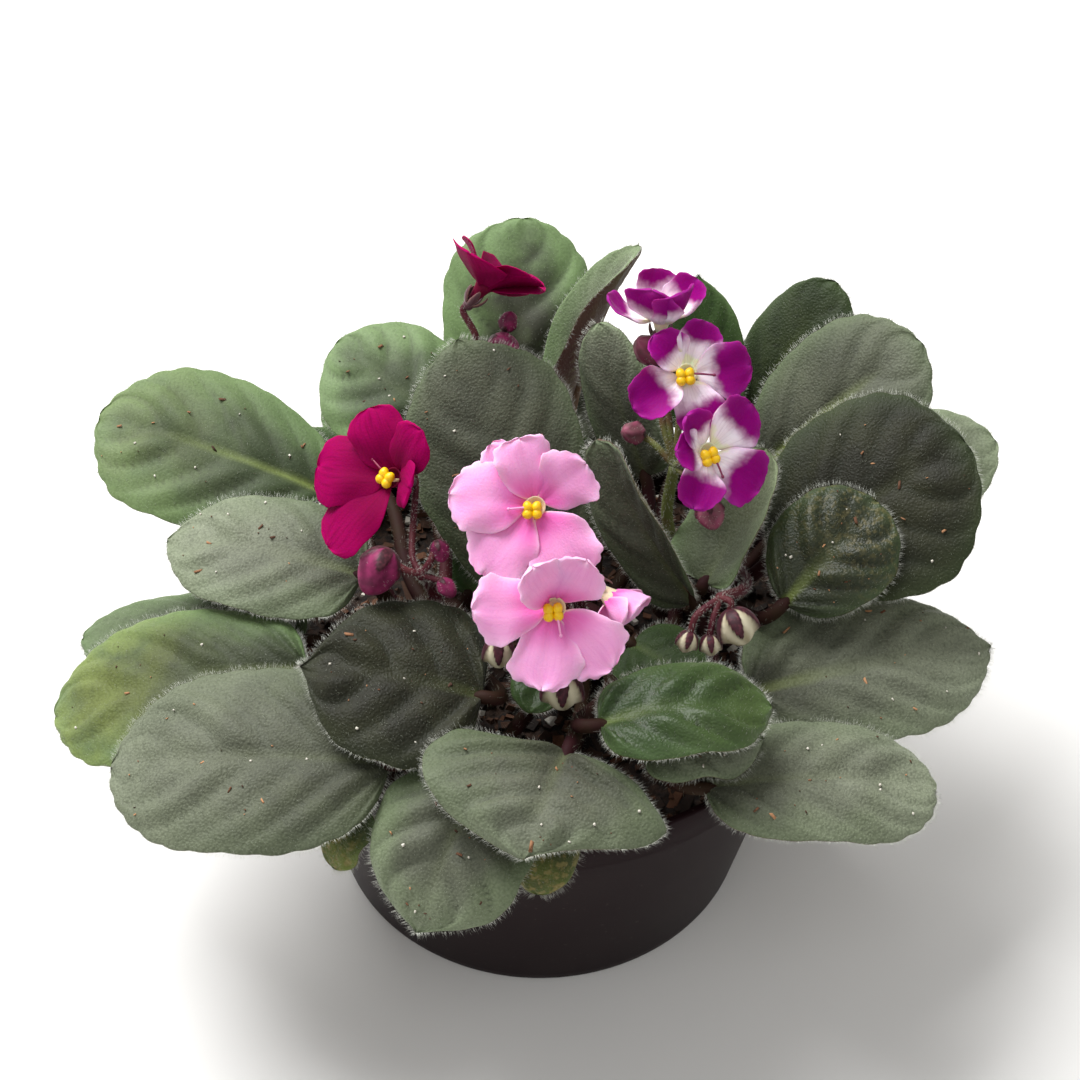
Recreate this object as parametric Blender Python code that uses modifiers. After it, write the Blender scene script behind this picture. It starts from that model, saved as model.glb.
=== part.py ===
"""Potted african violet: three young plants sharing one round nursery pot.

The pot rests on the ground plane at z = 0 and is turned about the z axis.  Its front,
the side with the pink blooms, faces -Y.  Design values are in millimetres and are turned
to metres where a mesh is made.  Leaves and petals are blades: one grid each, bent by a
formula, thickened with Solidify and fused to the stalk that carries it.
"""
from math import cos, pi, radians, sin

import bmesh
import bpy
import numpy as np
from mathutils import Vector

MM = 0.001

# Pot, a shallow 5 inch nursery pot
RIM_RADIUS = 63.5
RIM_SKIRT = 10.0
RIM_STEP = 1.8
POT_HEIGHT = 70.0
BASE_RADIUS = 49.0
WALL = 1.3
FLOOR = 1.6
POT_STEPS = 36
DRAIN_HOLES = 8
DRAIN_RADIUS = 3.6
DRAIN_RING = 38.0

# Potting mix
SOIL_TOP = 60.6
SOIL_DIP = 1.8
GAP = 0.3

# Short upright stem of each plant
CROWN_RADIUS = 5.5
CROWN_FOOT = 43.0
CROWN_TOP = 78.0
CROWN_STEPS = 16
CROWNS = {"crimson": (-22, -4), "pink": (9, -6), "bicolour": (31, 13)}

# Leaf
LEAF_THICK = 1.2
LEAF_CELLS = (6, 4)
SMALL_LEAF = 17
SMALL_LEAF_CELLS = (5, 2)
STALK_GAP = 0.35
STALK_FOOT = 1.0
STALK_RADII = (1.8, 1.5)
RIB_RADII = (1.3, 0.5)
RIB_REACH = (0.1, 0.5)

# Bloom
PETAL_THICK = 0.7
PETAL_CELLS = (3, 2)
PETAL_TILT = 0.16
PETAL_ROOT = 1.4
THROAT_FRONT = 2.3
THROAT_BACK = 1.2
THROAT_DEPTH = 4.5


def leaf(plant, base, tip, width, face, leaves, height, **shape):
    """A leaf by its blade's base and tip, full width and the way its upper side faces.

    It leaves its plant's stem at the compass angle `leaves` and at `height`.
    """
    return dict(plant=plant, base=base, tip=tip, width=width, face=face,
                leaves=leaves, height=height, **shape)


LEAVES = {
    # Left side, from the lowest to the highest
    "leaf_left_low": leaf("crimson", (-52, -9, 72), (-103, -1, 64), 28, (0, 0, 1), 184, 64, arch=0.05),
    "leaf_left_yellow": leaf("crimson", (-50, -21, 76), (-106, -22, 62), 38, (-0.1, -0.2, 1), 200, 68,
                             arch=0.09, skew=1.1),
    "leaf_left_back": leaf("crimson", (-50, 34, 76), (-103, 49, 86), 42, (0, -0.35, 1), 145, 67,
                           arch=0.05, skew=1.25),
    "leaf_left_middle": leaf("crimson", (-39, 0, 83), (-83, 12, 82), 32, (0, -0.2, 1), 165, 71.5,
                             arch=0.08, skew=0.95),
    "leaf_left_front": leaf("crimson", (-31, -48, 77), (-90, -41, 68), 44, (-0.1, -0.25, 1), 250, 68,
                            arch=0.08, skew=1.0, heart=0.05),
    "leaf_left_inner": leaf("crimson", (-12, -35.7, 84), (-50, -30, 87), 40, (-0.1, -0.22, 1), 295, 72,
                            arch=0.08),
    # Front, over the rim
    "leaf_front_torn": leaf("crimson", (-36, -55, 72.5), (-43, -61, 60), 12, (-0.3, -0.4, 1), 268, 63.7,
                            arch=0.12, pull=(0.5, 0.1)),
    "leaf_front_hanging": leaf("pink", (-11.5, -52, 76.5), (-25, -77, 59), 35, (-0.1, -0.4, 1), 238, 65,
                               arch=0.15, pull=(0.5, 0.15)),
    "leaf_front_olive": leaf("pink", (3.4, -53, 75), (-0.6, -69, 61), 15, (0, -0.5, 1), 272, 63.7,
                             arch=0.2, pull=(0.5, 0.1)),
    "leaf_front_broad": leaf("pink", (5.5, -50, 83.5), (-3, -75, 81), 54, (0, 0, 1), 272, 69,
                             arch=0.1, cup=(-0.2, 0), pull=(0.45, 0.12)),
    "leaf_front_inner": leaf("pink", (3, -16, 76), (-2, -34, 77), 14, (0, -0.3, 1), 238, 69.5),
    "leaf_front_bright": leaf("pink", (12, -46.5, 87.8), (47, -41, 87.3), 24, (0, -0.1, 1), 308, 68,
                              arch=0.1, skew=1.0),
    "leaf_front_under": leaf("pink", (21, -42, 77.5), (46, -42, 78), 20, (0, -0.3, 1), 327, 63.7,
                             arch=0.08),
    # Right side
    "leaf_right_inner": leaf("pink", (20, -11.5, 73.5), (34, -24, 73.5), 20, (0, -0.3, 1), 345, 67.5),
    "leaf_right_front": leaf("bicolour", (34, -51, 73), (83, -46, 67), 31, (0, -0.1, 1), 268, 64,
                             arch=0.08, skew=1.1),
    "leaf_right_low": leaf("bicolour", (45, -26, 74), (100, -8, 69), 36, (0, -0.3, 1), 300, 65,
                           arch=0.05, skew=0.9),
    "leaf_right_cupped": leaf("bicolour", (52.3, -11, 86), (72.8, 5.5, 100.5), 28, (-0.1, -0.6, 1), 322, 71.5,
                              arch=0.04, heart=0.03, skew=1.15),
    "leaf_right_dark": leaf("bicolour", (51, 3, 85), (92, 15, 109), 48, (-0.3, -0.6, 1), 345, 66.5,
                            arch=0.03, skew=1.2, heart=0),
    "leaf_right_far": leaf("bicolour", (60, 25, 76), (104, 37, 90), 36, (-0.1, -0.3, 1), 12, 63.7,
                           arch=0.05),
    "leaf_right_upper": leaf("bicolour", (50, 29, 88), (84, 39, 117), 37, (-0.4, -0.6, 1), 38, 71,
                             arch=0.05, skew=1.2, heart=0),
    "leaf_right_folded": leaf("bicolour", (36, -1, 82), (49, 16, 106), 18, (-0.3, -0.2, 1), 290, 75.5,
                              arch=-0.05, cup=(0.2, 0.2), skew=1.0),
    "leaf_centre_rolled": leaf("bicolour", (34, -4, 79), (12, 9, 115), 20, (-0.4, -0.8, 0.3), 262, 73,
                               arch=0.05, cup=0.3),
    # Back
    "leaf_back_right": leaf("bicolour", (50.6, 52, 82), (69, 68, 111), 26, (-0.4, -0.6, 1), 75, 69,
                            arch=0.05, pull=(0.6, 0.2)),
    "leaf_back_pointed": leaf("bicolour", (38, 49, 82), (37, 71, 111), 22, (0, -0.6, 1), 104, 71,
                              arch=0.03, pull=(0.6, 0.1)),
    "leaf_back_folded": leaf("pink", (5, 49, 82), (23, 66, 123), 30, (-0.6, 0.2, 0.7), 90, 72.5,
                             arch=0.05, cup=0.5, pull=(0.6, 0.15)),
    "leaf_back_narrow": leaf("pink", (24, 29, 86), (13, 46, 117), 18, (-0.4, -0.8, 0.5), 62, 68.5,
                             arch=0.05),
    "leaf_back_light": leaf("pink", (-7, 62, 73), (-4, 97, 108), 38, (0, -0.7, 0.7), 108, 67,
                            arch=0.05, skew=1.1, pull=(0.6, 0.1)),
    "leaf_back_left": leaf("crimson", (-21, 51, 79), (-49, 71, 90), 37, (0, -0.4, 1), 96, 70,
                           arch=0.05, heart=0.05),
    "leaf_back_small": leaf("crimson", (-43, 43, 74.5), (-58, 50, 79), 13, (0, -0.3, 1), 122, 72.5),
    "leaf_centre_upright": leaf("pink", (1, -0.4, 81.5), (-18, 36, 120), 40, (0, -0.7, 0.7), 150, 73,
                                arch=0.05, skew=1.1),
    "leaf_centre_young": leaf("crimson", (-16, 4, 73), (-12, 14, 81), 16, (0, -0.3, 1), 50, 66),
    # Low leaves that reach over the rim at the back
    "leaf_rear_left": leaf("crimson", (-30, 48, 72), (-44, 88, 67), 34, (0, 0, 1), 85, 64, arch=0.08),
    "leaf_rear_middle": leaf("pink", (15, 55, 71.8), (18, 96, 67), 29, (0, 0, 1), 80, 63.7, arch=0.08),
    "leaf_rear_right": leaf("bicolour", (50, 48, 73.5), (77, 80, 67), 30, (0, 0, 1), 46, 63.7,
                            arch=0.12, pull=(0.5, 0.3)),
}

# A bloom by the middle of its mouth, the way it faces, and its petals.  A petal is the
# angle round the mouth (0 to the right, 90 up, as seen from the front), its length, its
# width and how far it leans forward, in degrees.
BLOOMS = {
    "bloom_crimson_front": dict(
        mouth=(-31, 4, 109), facing=(-0.55, -0.5, 0.66), anthers=True,
        petals=((140, 16, 14, 18), (72, 14, 12, 20), (205, 19, 17, 14), (258, 21, 17, 10), (12, 11, 12, 30))),
    "bloom_crimson_back": dict(
        mouth=(-12, 47, 127), facing=(0.62, 0.45, 0.6), anthers=False,
        petals=((105, 16, 12, 12), (170, 14, 13, 30), (234, 14, 13, 25), (300, 16, 13, 12), (30, 12, 12, 30))),
    "bloom_pink_upper": dict(
        mouth=(-1, -9, 113), facing=(0, -0.72, 0.69), anthers=True,
        petals=((103, 15, 13, 12), (40, 14, 13, 12), (172, 18, 15, 8), (232, 18, 15, 6), (305, 18, 15, 6))),
    "bloom_pink_lower": dict(
        mouth=(3, -31, 106), facing=(0.1, -0.75, 0.65), anthers=True,
        petals=((115, 13, 12, 40), (55, 13, 12, 30), (175, 17, 14, 10), (255, 17, 14, 8), (308, 17, 14, 8))),
    "bloom_pink_side": dict(
        mouth=(15, -22, 99), facing=(0.75, -0.6, -0.25), anthers=False,
        petals=((90, 9, 9, 40), (162, 9, 9, 40), (234, 11, 10, 30), (306, 11, 10, 30), (18, 9, 9, 40))),
    "bloom_bicolour_top": dict(
        mouth=(26, 30.5, 131), facing=(0.05, 0.1, 1), anthers=False,
        petals=((100, 12, 11, 35), (35, 12, 11, 35), (175, 12, 10, 25), (240, 13, 12, 40), (305, 13, 12, 40))),
    "bloom_bicolour_middle": dict(
        mouth=(31, 19, 125), facing=(0.1, -0.7, 0.7), anthers=True,
        petals=((127, 11, 10, 12), (66, 12, 10, 12), (2, 14, 12, 8), (208, 14, 12, 8), (283, 13, 12, 8))),
    "bloom_bicolour_lower": dict(
        mouth=(35, 2, 118), facing=(0.35, -0.65, 0.6), anthers=True,
        petals=((112, 11, 9, 25), (30, 14, 12, 10), (160, 10, 9, 28), (230, 13, 11, 15), (308, 14, 13, 8))),
}

# A flower stalk by the route of its main stem, then a branch to the back of each bloom
# and to each bud.  A bud is where it hangs, the way its tip points, its length and radius.
SPRAYS = {
    "spray_crimson_front": dict(
        stem=((-22.5, -3.5, 78.4), (-24, -5, 87), (-25, -13, 97)),
        blooms={"bloom_crimson_front": ((-27, -8, 99),)},
        buds=(((-34, -13, 98), (-0.5, -0.6, -0.7), 11, 4.4, ((-29, -13, 99),)),
              ((-21, -10, 101), (0.3, -0.6, -0.7), 5, 2.1, ((-23, -12, 100),)),
              ((-19.5, -16, 96), (0.5, -0.6, -0.2), 5, 1.9, ())),
    ),
    "spray_crimson_back": dict(
        stem=((-21, 0, 78.2), (-20, 18, 87), (-14, 36, 108)),
        blooms={"bloom_crimson_back": ((-14, 40, 117),)},
        buds=(((-8, 40, 115), (0.6, -0.5, 0.2), 8, 3, ((-12, 37, 112),)),
              ((-7, 45, 118), (0.3, 0.2, 0.9), 5, 2.1, ((-10, 42, 114),)),
              ((-41, 21, 99), (-0.6, -0.3, 0.6), 8, 2.8, ((-24, 20, 93),))),
    ),
    "spray_pink": dict(
        stem=((9, -7, 78.4), (8, -11, 87), (6, -15, 95)),
        blooms={"bloom_pink_upper": ((4, -9, 103),),
                "bloom_pink_lower": ((6, -19, 99),),
                "bloom_pink_side": ((8, -17, 99),)},
        buds=(((-8.5, -29.5, 91), (0, -0.4, -0.9), 7, 3.1, ((-1, -20, 98), (-7.5, -27.5, 96.5))),
              ((4.5, -38, 89), (0, -0.4, -0.9), 9, 4, ((5, -25, 96), (4.5, -36, 95)))),
    ),
    "spray_bicolour": dict(
        stem=((30, 13, 78.4), (28, 12, 91), (29, 12, 105)),
        blooms={"bloom_bicolour_top": ((27, 21, 117),),
                "bloom_bicolour_middle": ((30, 18, 115),),
                "bloom_bicolour_lower": ((31, 8, 110),)},
        buds=(((23.5, 28, 124), (-0.5, -0.2, 0.7), 9, 3.3, ((26, 19, 114),)),
              ((20, 17, 110), (-0.6, -0.4, 0.5), 6, 2.5, ((25, 15, 108),)),
              ((36, -2, 104), (0.3, -0.6, -0.7), 7, 3.1, ((33, 4, 107),))),
    ),
    "spray_right": dict(
        stem=((34.5, 12, 79.2), (41, 8, 80.5), (45, 0, 82.5), (43.5, -8, 87), (38, -15, 92)),
        blooms={},
        buds=(((41.5, -20, 88.5), (0.4, -0.5, -0.7), 8.5, 4, ((40, -17, 93),)),
              ((31, -22, 86), (-0.3, -0.5, -0.8), 5, 2.2, ((33, -19, 91),)),
              ((36, -22, 85), (0.1, -0.5, -0.9), 5, 2.2, ((36.5, -19, 90),))),
    ),
}
STEM_RADII = (1.5, 1.2)
BRANCH_RADII = (0.8, 0.7)
CALYX_RADIUS = 2.6
CALYX_LENGTH = 2.6

COLOURS = {
    "pot": ((0.018, 0.014, 0.015), 0.45),
    "soil": ((0.055, 0.028, 0.016), 0.95),
    "crown": ((0.10, 0.16, 0.05), 0.8),
    "leaf": ((0.06, 0.11, 0.05), 0.7),
    "crimson": ((0.30, 0.0, 0.09), 0.6),
    "pink": ((0.84, 0.36, 0.63), 0.6),
    "bicolour": ((0.55, 0.12, 0.50), 0.6),
    "anther": ((0.85, 0.58, 0.01), 0.6),
    "stalk": ((0.13, 0.04, 0.035), 0.7),
}


def material(name):
    """A Principled material of one colour and roughness."""
    made = bpy.data.materials.get(name)
    if made is None:
        colour, roughness = COLOURS[name]
        made = bpy.data.materials.new(name)
        made.use_nodes = True
        shader = made.node_tree.nodes["Principled BSDF"]
        shader.inputs["Base Color"].default_value = (*colour, 1)
        shader.inputs["Roughness"].default_value = roughness
        made.diffuse_color = (*colour, 1)
    return made


def add_object(name, data, group, colour=None):
    """An object of a mesh or curve, in a collection, with its material."""
    made = bpy.data.objects.new(name, data)
    group.objects.link(made)
    if colour:
        data.materials.append(material(colour))
    return made


def unit(vector):
    """The vector at length one."""
    vector = np.asarray(vector, float)
    return vector / np.linalg.norm(vector)


def blade_axes(blade):
    """Directions along the midrib, out of the upper side, and to the right of it."""
    along = unit(np.subtract(blade["tip"], blade["base"]))
    up = np.asarray(blade["face"], float)
    up = unit(up - along * (up @ along))
    return along, up, np.cross(along, up)


def blade_surface(blade, u, v):
    """Points of a blade's middle surface, u from base to tip and v from edge to edge.

    The half width is a super-ellipse of u.  `heart` draws the lobes back past the base,
    `arch` bows the midrib and `cup` lifts one or both edges by the square of v.
    """
    base, tip = np.array(blade["base"], float), np.array(blade["tip"], float)
    along, up, side = blade_axes(blade)
    length = np.linalg.norm(tip - base)
    half = blade["width"] / 2
    full = blade.get("full", 2.3)
    swell = (1 - np.abs(2 * u ** blade.get("skew", 0.85) - 1) ** full) ** 0.5
    across = swell * v
    heart = blade.get("heart", 0.12) * np.abs(v) ** 1.5 * (1 - u) ** 3 * np.minimum(1, u * 6)
    cup = blade.get("cup", 0)
    right, left = cup if isinstance(cup, tuple) else (cup, cup)
    cup = np.where(v < 0, right, left)
    narrow = half * across * (1 - 0.35 * np.minimum(1, np.abs(cup)) * np.abs(across))
    lift = half * cup * across ** 2 + blade.get("arch", 0.08) * length * 4 * u * (1 - u)
    return (base + np.multiply.outer(length * (u - heart), along)
            + np.multiply.outer(narrow, side) + np.multiply.outer(lift, up))


def blade_object(name, blade, cells, thick, group, colour):
    """A blade as a grid bent by the formula, its quads split, thickened both ways."""
    mesh = bpy.data.meshes.new(name)
    bm = bmesh.new()
    bmesh.ops.create_grid(bm, x_segments=cells[0], y_segments=cells[1], size=1)
    grid = np.array([vertex.co[:2] for vertex in bm.verts])
    u = (1 - np.cos(pi * (0.5 + 0.47 * grid[:, 0]))) / 2
    for vertex, point in zip(bm.verts, blade_surface(blade, u, grid[:, 1]) * MM):
        vertex.co = point
    bmesh.ops.triangulate(bm, faces=bm.faces, quad_method="FIXED")
    bm.to_mesh(mesh)
    bm.free()
    made = add_object(name, mesh, group, colour)
    shell = made.modifiers.new("thickness", "SOLIDIFY")
    shell.thickness = thick * MM
    shell.offset = 0
    return made


def tube_object(name, points, radii, group, colour, corners=6):
    """A round stem through the points, in mm, its radius running along `radii`."""
    curve = bpy.data.curves.new(name, "CURVE")
    curve.dimensions = "3D"
    curve.bevel_depth = MM
    curve.bevel_resolution = (corners - 4) // 2
    curve.use_fill_caps = True
    spline = curve.splines.new("POLY")
    spline.points.add(len(points) - 1)
    for point, at, radius in zip(spline.points, points, radii):
        point.co = (*(c * MM for c in at), 1)
        point.radius = radius
    drawn = add_object(name, curve, group)
    depsgraph = bpy.context.evaluated_depsgraph_get()
    mesh = bpy.data.meshes.new_from_object(drawn.evaluated_get(depsgraph))
    bpy.data.objects.remove(drawn)
    bm = bmesh.new()
    bm.from_mesh(mesh)
    bmesh.ops.remove_doubles(bm, verts=bm.verts, dist=0.00001)
    bmesh.ops.recalc_face_normals(bm, faces=bm.faces)
    bm.to_mesh(mesh)
    bm.free()
    return add_object(name, mesh, group, colour)


def bezier(start, pull_out, pull_in, end, count):
    """Points along a cubic curve between two ends and their two handles."""
    t = np.linspace(0, 1, count)[:, None]
    return (np.multiply(start, (1 - t) ** 3) + 3 * np.multiply(pull_out, t * (1 - t) ** 2)
            + 3 * np.multiply(pull_in, t * t * (1 - t)) + np.multiply(end, t ** 3))


def smooth_route(points, count):
    """A Catmull-Rom curve through hand-placed points."""
    points = [np.array(p, float) for p in points]
    ends = [2 * points[0] - points[1], *points, 2 * points[-1] - points[-2]]
    route = []
    for a, b, c, d in zip(ends, ends[1:], ends[2:], ends[3:]):
        route.extend(bezier(b, b + (c - a) / 6, c - (d - b) / 6, c, count + 1)[:-1])
    return np.array([*route, points[-1]])


def fuse(body, extras):
    """Join closed shapes into one body with a Boolean union, and remove the extras."""
    group = bpy.data.collections.new("fused")
    bpy.context.scene.collection.children.link(group)
    for extra in extras:
        group.objects.link(extra)
    union = body.modifiers.new("union", "BOOLEAN")
    union.operation = "UNION"
    union.operand_type = "COLLECTION"
    union.collection = group
    for solver in ("EXACT", "MANIFOLD"):
        union.solver = solver
        bpy.context.view_layer.update()
        depsgraph = bpy.context.evaluated_depsgraph_get()
        mesh = bpy.data.meshes.new_from_object(body.evaluated_get(depsgraph))
        if mesh.polygons:
            break
    body.modifiers.clear()
    body.data = mesh
    for extra in extras:
        bpy.data.objects.remove(extra)
    bpy.data.collections.remove(group)
    return body


def cut(body, cutter, group):
    """Cut a shape out of a body; the cutter stays as a hidden wire guide."""
    group.objects.link(cutter)
    cutter.hide_render = True
    cutter.display_type = "WIRE"
    hole = body.modifiers.new(cutter.name, "BOOLEAN")
    hole.operation = "DIFFERENCE"
    hole.object = cutter


def turned(name, profile, steps, group, colour):
    """A profile of (radius, height) in mm, from the axis round to the axis, turned once."""
    mesh = bpy.data.meshes.new(name)
    points = [(radius * MM, 0, height * MM) for radius, height in profile]
    mesh.from_pydata(points, [(i, i + 1) for i in range(len(points) - 1)], [])
    made = add_object(name, mesh, group, colour)
    screw = made.modifiers.new("turn", "SCREW")
    screw.steps = screw.render_steps = steps
    screw.use_merge_vertices = True
    screw.merge_threshold = 0.00001
    screw.use_normal_calculate = True
    return made


def cylinder(name, radius, bottom, top, x, y, steps):
    """A plain cylinder mesh object, not yet in a collection."""
    mesh = bpy.data.meshes.new(name)
    bm = bmesh.new()
    bmesh.ops.create_cone(bm, cap_ends=True, segments=steps, radius1=radius * MM,
                          radius2=radius * MM, depth=(top - bottom) * MM)
    bmesh.ops.translate(bm, verts=bm.verts, vec=Vector((x, y, (top + bottom) / 2)) * MM)
    bm.to_mesh(mesh)
    bm.free()
    return bpy.data.objects.new(name, mesh)


def make_pot(group, cutters):
    """Thin moulded pot: skirted rim, tapered wall, flat floor with a ring of drain holes."""
    skirt = POT_HEIGHT - RIM_SKIRT
    shoulder = RIM_RADIUS - RIM_STEP
    outer = [(0, 0), (BASE_RADIUS - 1, 0), (BASE_RADIUS, 1), (shoulder - 0.8, skirt), (RIM_RADIUS - 0.6, skirt),
             (RIM_RADIUS, POT_HEIGHT - 0.6), (RIM_RADIUS - 0.5, POT_HEIGHT)]
    inner = [(RIM_RADIUS - WALL - 0.3, POT_HEIGHT), (RIM_RADIUS - WALL - 0.7, skirt + 1.2),
             (shoulder - 0.8 - WALL, skirt - 1), (BASE_RADIUS - WALL, FLOOR), (0, FLOOR)]
    pot = turned("pot", (outer + inner)[::-1], POT_STEPS, group, "pot")
    for index in range(DRAIN_HOLES):
        angle = 2 * pi * (index + 0.5) / DRAIN_HOLES
        hole = cylinder(f"drain_cutter_{index + 1}", DRAIN_RADIUS, -2, FLOOR + 2,
                        DRAIN_RING * cos(angle), DRAIN_RING * sin(angle), 12)
        cut(pot, hole, cutters)
    return pot


def make_soil(group, cutters):
    """Bark and peat that fills the pot, its top rough by a sum of waves, with stem holes."""
    skirt = POT_HEIGHT - RIM_SKIRT
    wall_low = BASE_RADIUS - WALL - GAP
    wall_high = RIM_RADIUS - RIM_STEP - 0.8 - WALL - GAP
    rings = [(wall_high - 2, SOIL_TOP - 1.5), (44, SOIL_TOP), (24, SOIL_TOP), (0, SOIL_TOP)]
    profile = [(0, FLOOR + GAP), (wall_low, FLOOR + GAP), (wall_high - 0.5, skirt - 3), *rings]
    soil = turned("soil", profile, POT_STEPS, group, "soil")
    bpy.context.view_layer.update()
    depsgraph = bpy.context.evaluated_depsgraph_get()
    mesh = bpy.data.meshes.new_from_object(soil.evaluated_get(depsgraph))
    for vertex in mesh.vertices:
        x, y, z = vertex.co / MM
        if z > SOIL_TOP - 1 and abs(x) + abs(y) > 1:
            rough = 0.5 + 0.25 * sin(x * 0.41 + y * 0.23) + 0.25 * sin(x * 0.17 - y * 0.37 + 2)
            vertex.co.z -= SOIL_DIP * rough * MM
    soil.modifiers.clear()
    soil.data = mesh
    for plant, (x, y) in CROWNS.items():
        hole = cylinder(f"{plant}_stem_cutter", CROWN_RADIUS + GAP, CROWN_FOOT - GAP, SOIL_TOP + 5,
                        x, y, CROWN_STEPS)
        cut(soil, hole, cutters)
    return soil


def make_crown(plant, group):
    """The short thick stem that a plant's leaves grow from, domed at both ends."""
    r, top = CROWN_RADIUS, CROWN_TOP
    profile = [(0, CROWN_FOOT), (0.7 * r, CROWN_FOOT + 0.8), (r - 0.2, CROWN_FOOT + 4), (r, top - 2.6),
               (0.72 * r, top - 0.8), (0, top)]
    crown = turned(f"crown_{plant}", profile, CROWN_STEPS, group, "crown")
    crown.location = Vector((*CROWNS[plant], 0)) * MM


def stalk_route(blade):
    """From the plant's stem to the blade, then under the blade along its midrib."""
    along, up, _ = blade_axes(blade)
    x, y = CROWNS[blade["plant"]]
    base = np.array(blade["base"], float)
    out = np.array([cos(radians(blade["leaves"])), sin(radians(blade["leaves"])), 0])
    foot = np.array([x, y, blade["height"]]) + out * (CROWN_RADIUS + STALK_GAP)
    start = foot + out * STALK_FOOT
    reach = np.linalg.norm(base - start)
    pull_out, pull_in = blade.get("pull", (0.4, 0.35))
    rise = np.array([0, 0, 0.1])
    bend = bezier(start, start + (out + rise) * reach * pull_out, base - along * reach * pull_in, base, 5)
    u = np.linspace(*RIB_REACH, 2)
    rib = blade_surface(blade, u, 0 * u) - up * LEAF_THICK * 0.35
    return np.concatenate([[foot], bend, rib])


def make_leaf(name, blade, group):
    """A blade with its stalk and midrib fused to its underside."""
    cells = SMALL_LEAF_CELLS if blade["width"] < SMALL_LEAF else LEAF_CELLS
    body = blade_object(name, blade, cells, LEAF_THICK, group, "leaf")
    route = stalk_route(blade)
    radii = np.concatenate([np.linspace(*STALK_RADII, len(route) - 2), RIB_RADII])
    stalk = tube_object(f"{name}_stalk", route, radii, group, "leaf")
    return fuse(body, [stalk])


def bloom_axes(bloom):
    """Right, up and front of a bloom, up being as near the plant's up as it can be."""
    front = unit(bloom["facing"])
    upright = np.array([0, 0, 1]) if abs(front[2]) < 0.95 else np.array([0, 1, 0])
    up = unit(upright - front * (upright @ front))
    return np.cross(up, front), up, front


def petal(bloom, angle, length, width, lean):
    """The blade of one petal, from the mouth outwards."""
    right, up, front = bloom_axes(bloom)
    out = right * cos(radians(angle)) + up * sin(radians(angle))
    along = out * cos(radians(lean)) + front * sin(radians(lean))
    face = front * cos(radians(lean)) - out * sin(radians(lean))
    face = face + np.cross(along, face) * PETAL_TILT
    base = np.array(bloom["mouth"], float) + out * PETAL_ROOT - front * 0.6
    return dict(base=base, tip=base + along * (length - PETAL_ROOT), width=width, face=face,
                heart=0, arch=0.04, skew=1.5, full=2)


def make_bloom(name, bloom, group):
    """Petals in their ring, fused to a short tapered throat."""
    colour = name.split("_")[1]
    right, up, front = bloom_axes(bloom)
    mouth = np.array(bloom["mouth"], float)
    ends = [mouth - front * THROAT_DEPTH, mouth - front * 1.2, mouth]
    throat = tube_object(name, ends, [THROAT_BACK, THROAT_FRONT, THROAT_FRONT - 0.4], group, colour, 8)
    petals = []
    for index, (angle, length, width, lean) in enumerate(bloom["petals"]):
        blade = petal(bloom, angle, length, width, lean)
        petals.append(blade_object(f"{name}_petal_{index}", blade, PETAL_CELLS, PETAL_THICK, group, colour))
    return fuse(throat, petals)


def egg(name, centre, axis, length, radius, group, colour, sides=10, rings=4, ribs=0.1):
    """A bud: a sphere drawn out along its axis, its five sepals raised by a cosine."""
    mesh = bpy.data.meshes.new(name)
    bm = bmesh.new()
    bmesh.ops.create_uvsphere(bm, u_segments=sides, v_segments=rings, radius=1)
    turn = Vector(unit(axis)).to_track_quat("Z", "Y")
    for vertex in bm.verts:
        x, y, z = vertex.co
        angle = np.arctan2(y, x)
        swell = radius * (1 - 0.18 * z) * (1 + ribs * cos(5 * angle) * (0.5 - 0.5 * z))
        local = Vector((x * swell, y * swell, z * length / 2))
        vertex.co = (Vector(centre) + turn @ local) * MM
    bm.to_mesh(mesh)
    bm.free()
    return add_object(name, mesh, group, colour)


def calyx(name, tip, front, group):
    """The star of sepals behind a bloom: a small cup with five points."""
    mesh = bpy.data.meshes.new(name)
    bm = bmesh.new()
    bmesh.ops.create_cone(bm, cap_ends=True, segments=10, radius1=0.8, radius2=CALYX_RADIUS, depth=CALYX_LENGTH)
    turn = Vector(front).to_track_quat("Z", "Y")
    middle = Vector(tip) - Vector(front) * CALYX_LENGTH / 2
    for vertex in bm.verts:
        local = vertex.co.copy()
        if local.z > 0 and round(np.degrees(np.arctan2(local.y, local.x)) / 36) % 2:
            local.x *= 0.55
            local.y *= 0.55
        vertex.co = (middle + turn @ local) * MM
    bm.to_mesh(mesh)
    bm.free()
    return add_object(name, mesh, group, "stalk")


def make_spray(name, spray, group):
    """Main stem, branches, calyxes and buds of one flower stalk, fused."""
    stem_route = smooth_route(spray["stem"], 2)
    body = tube_object(name, stem_route, np.linspace(*STEM_RADII, len(stem_route)), group, "stalk")
    end = spray["stem"][-1]
    extras = []

    def branch(points):
        route = smooth_route(points, 2)
        radii = np.linspace(*BRANCH_RADII, len(route))
        extras.append(tube_object(f"{name}_branch_{len(extras)}", route, radii, group, "stalk", 4))

    for flower, way in spray["blooms"].items():
        bloom = BLOOMS[flower]
        front = bloom_axes(bloom)[2]
        seat = np.array(bloom["mouth"], float) - front * (THROAT_DEPTH + GAP)
        branch((end, *way, seat - front * 3, seat - front * 1))
        extras.append(calyx(f"{name}_calyx_{len(extras)}", seat, front, group))
    for centre, axis, length, radius, way in spray["buds"]:
        axis = unit(axis)
        branch((end, *way, np.array(centre) - axis * length * 0.42))
        extras.append(egg(f"{name}_bud_{len(extras)}", centre, axis, length, radius, group, "stalk"))
    return fuse(body, extras)


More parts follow.
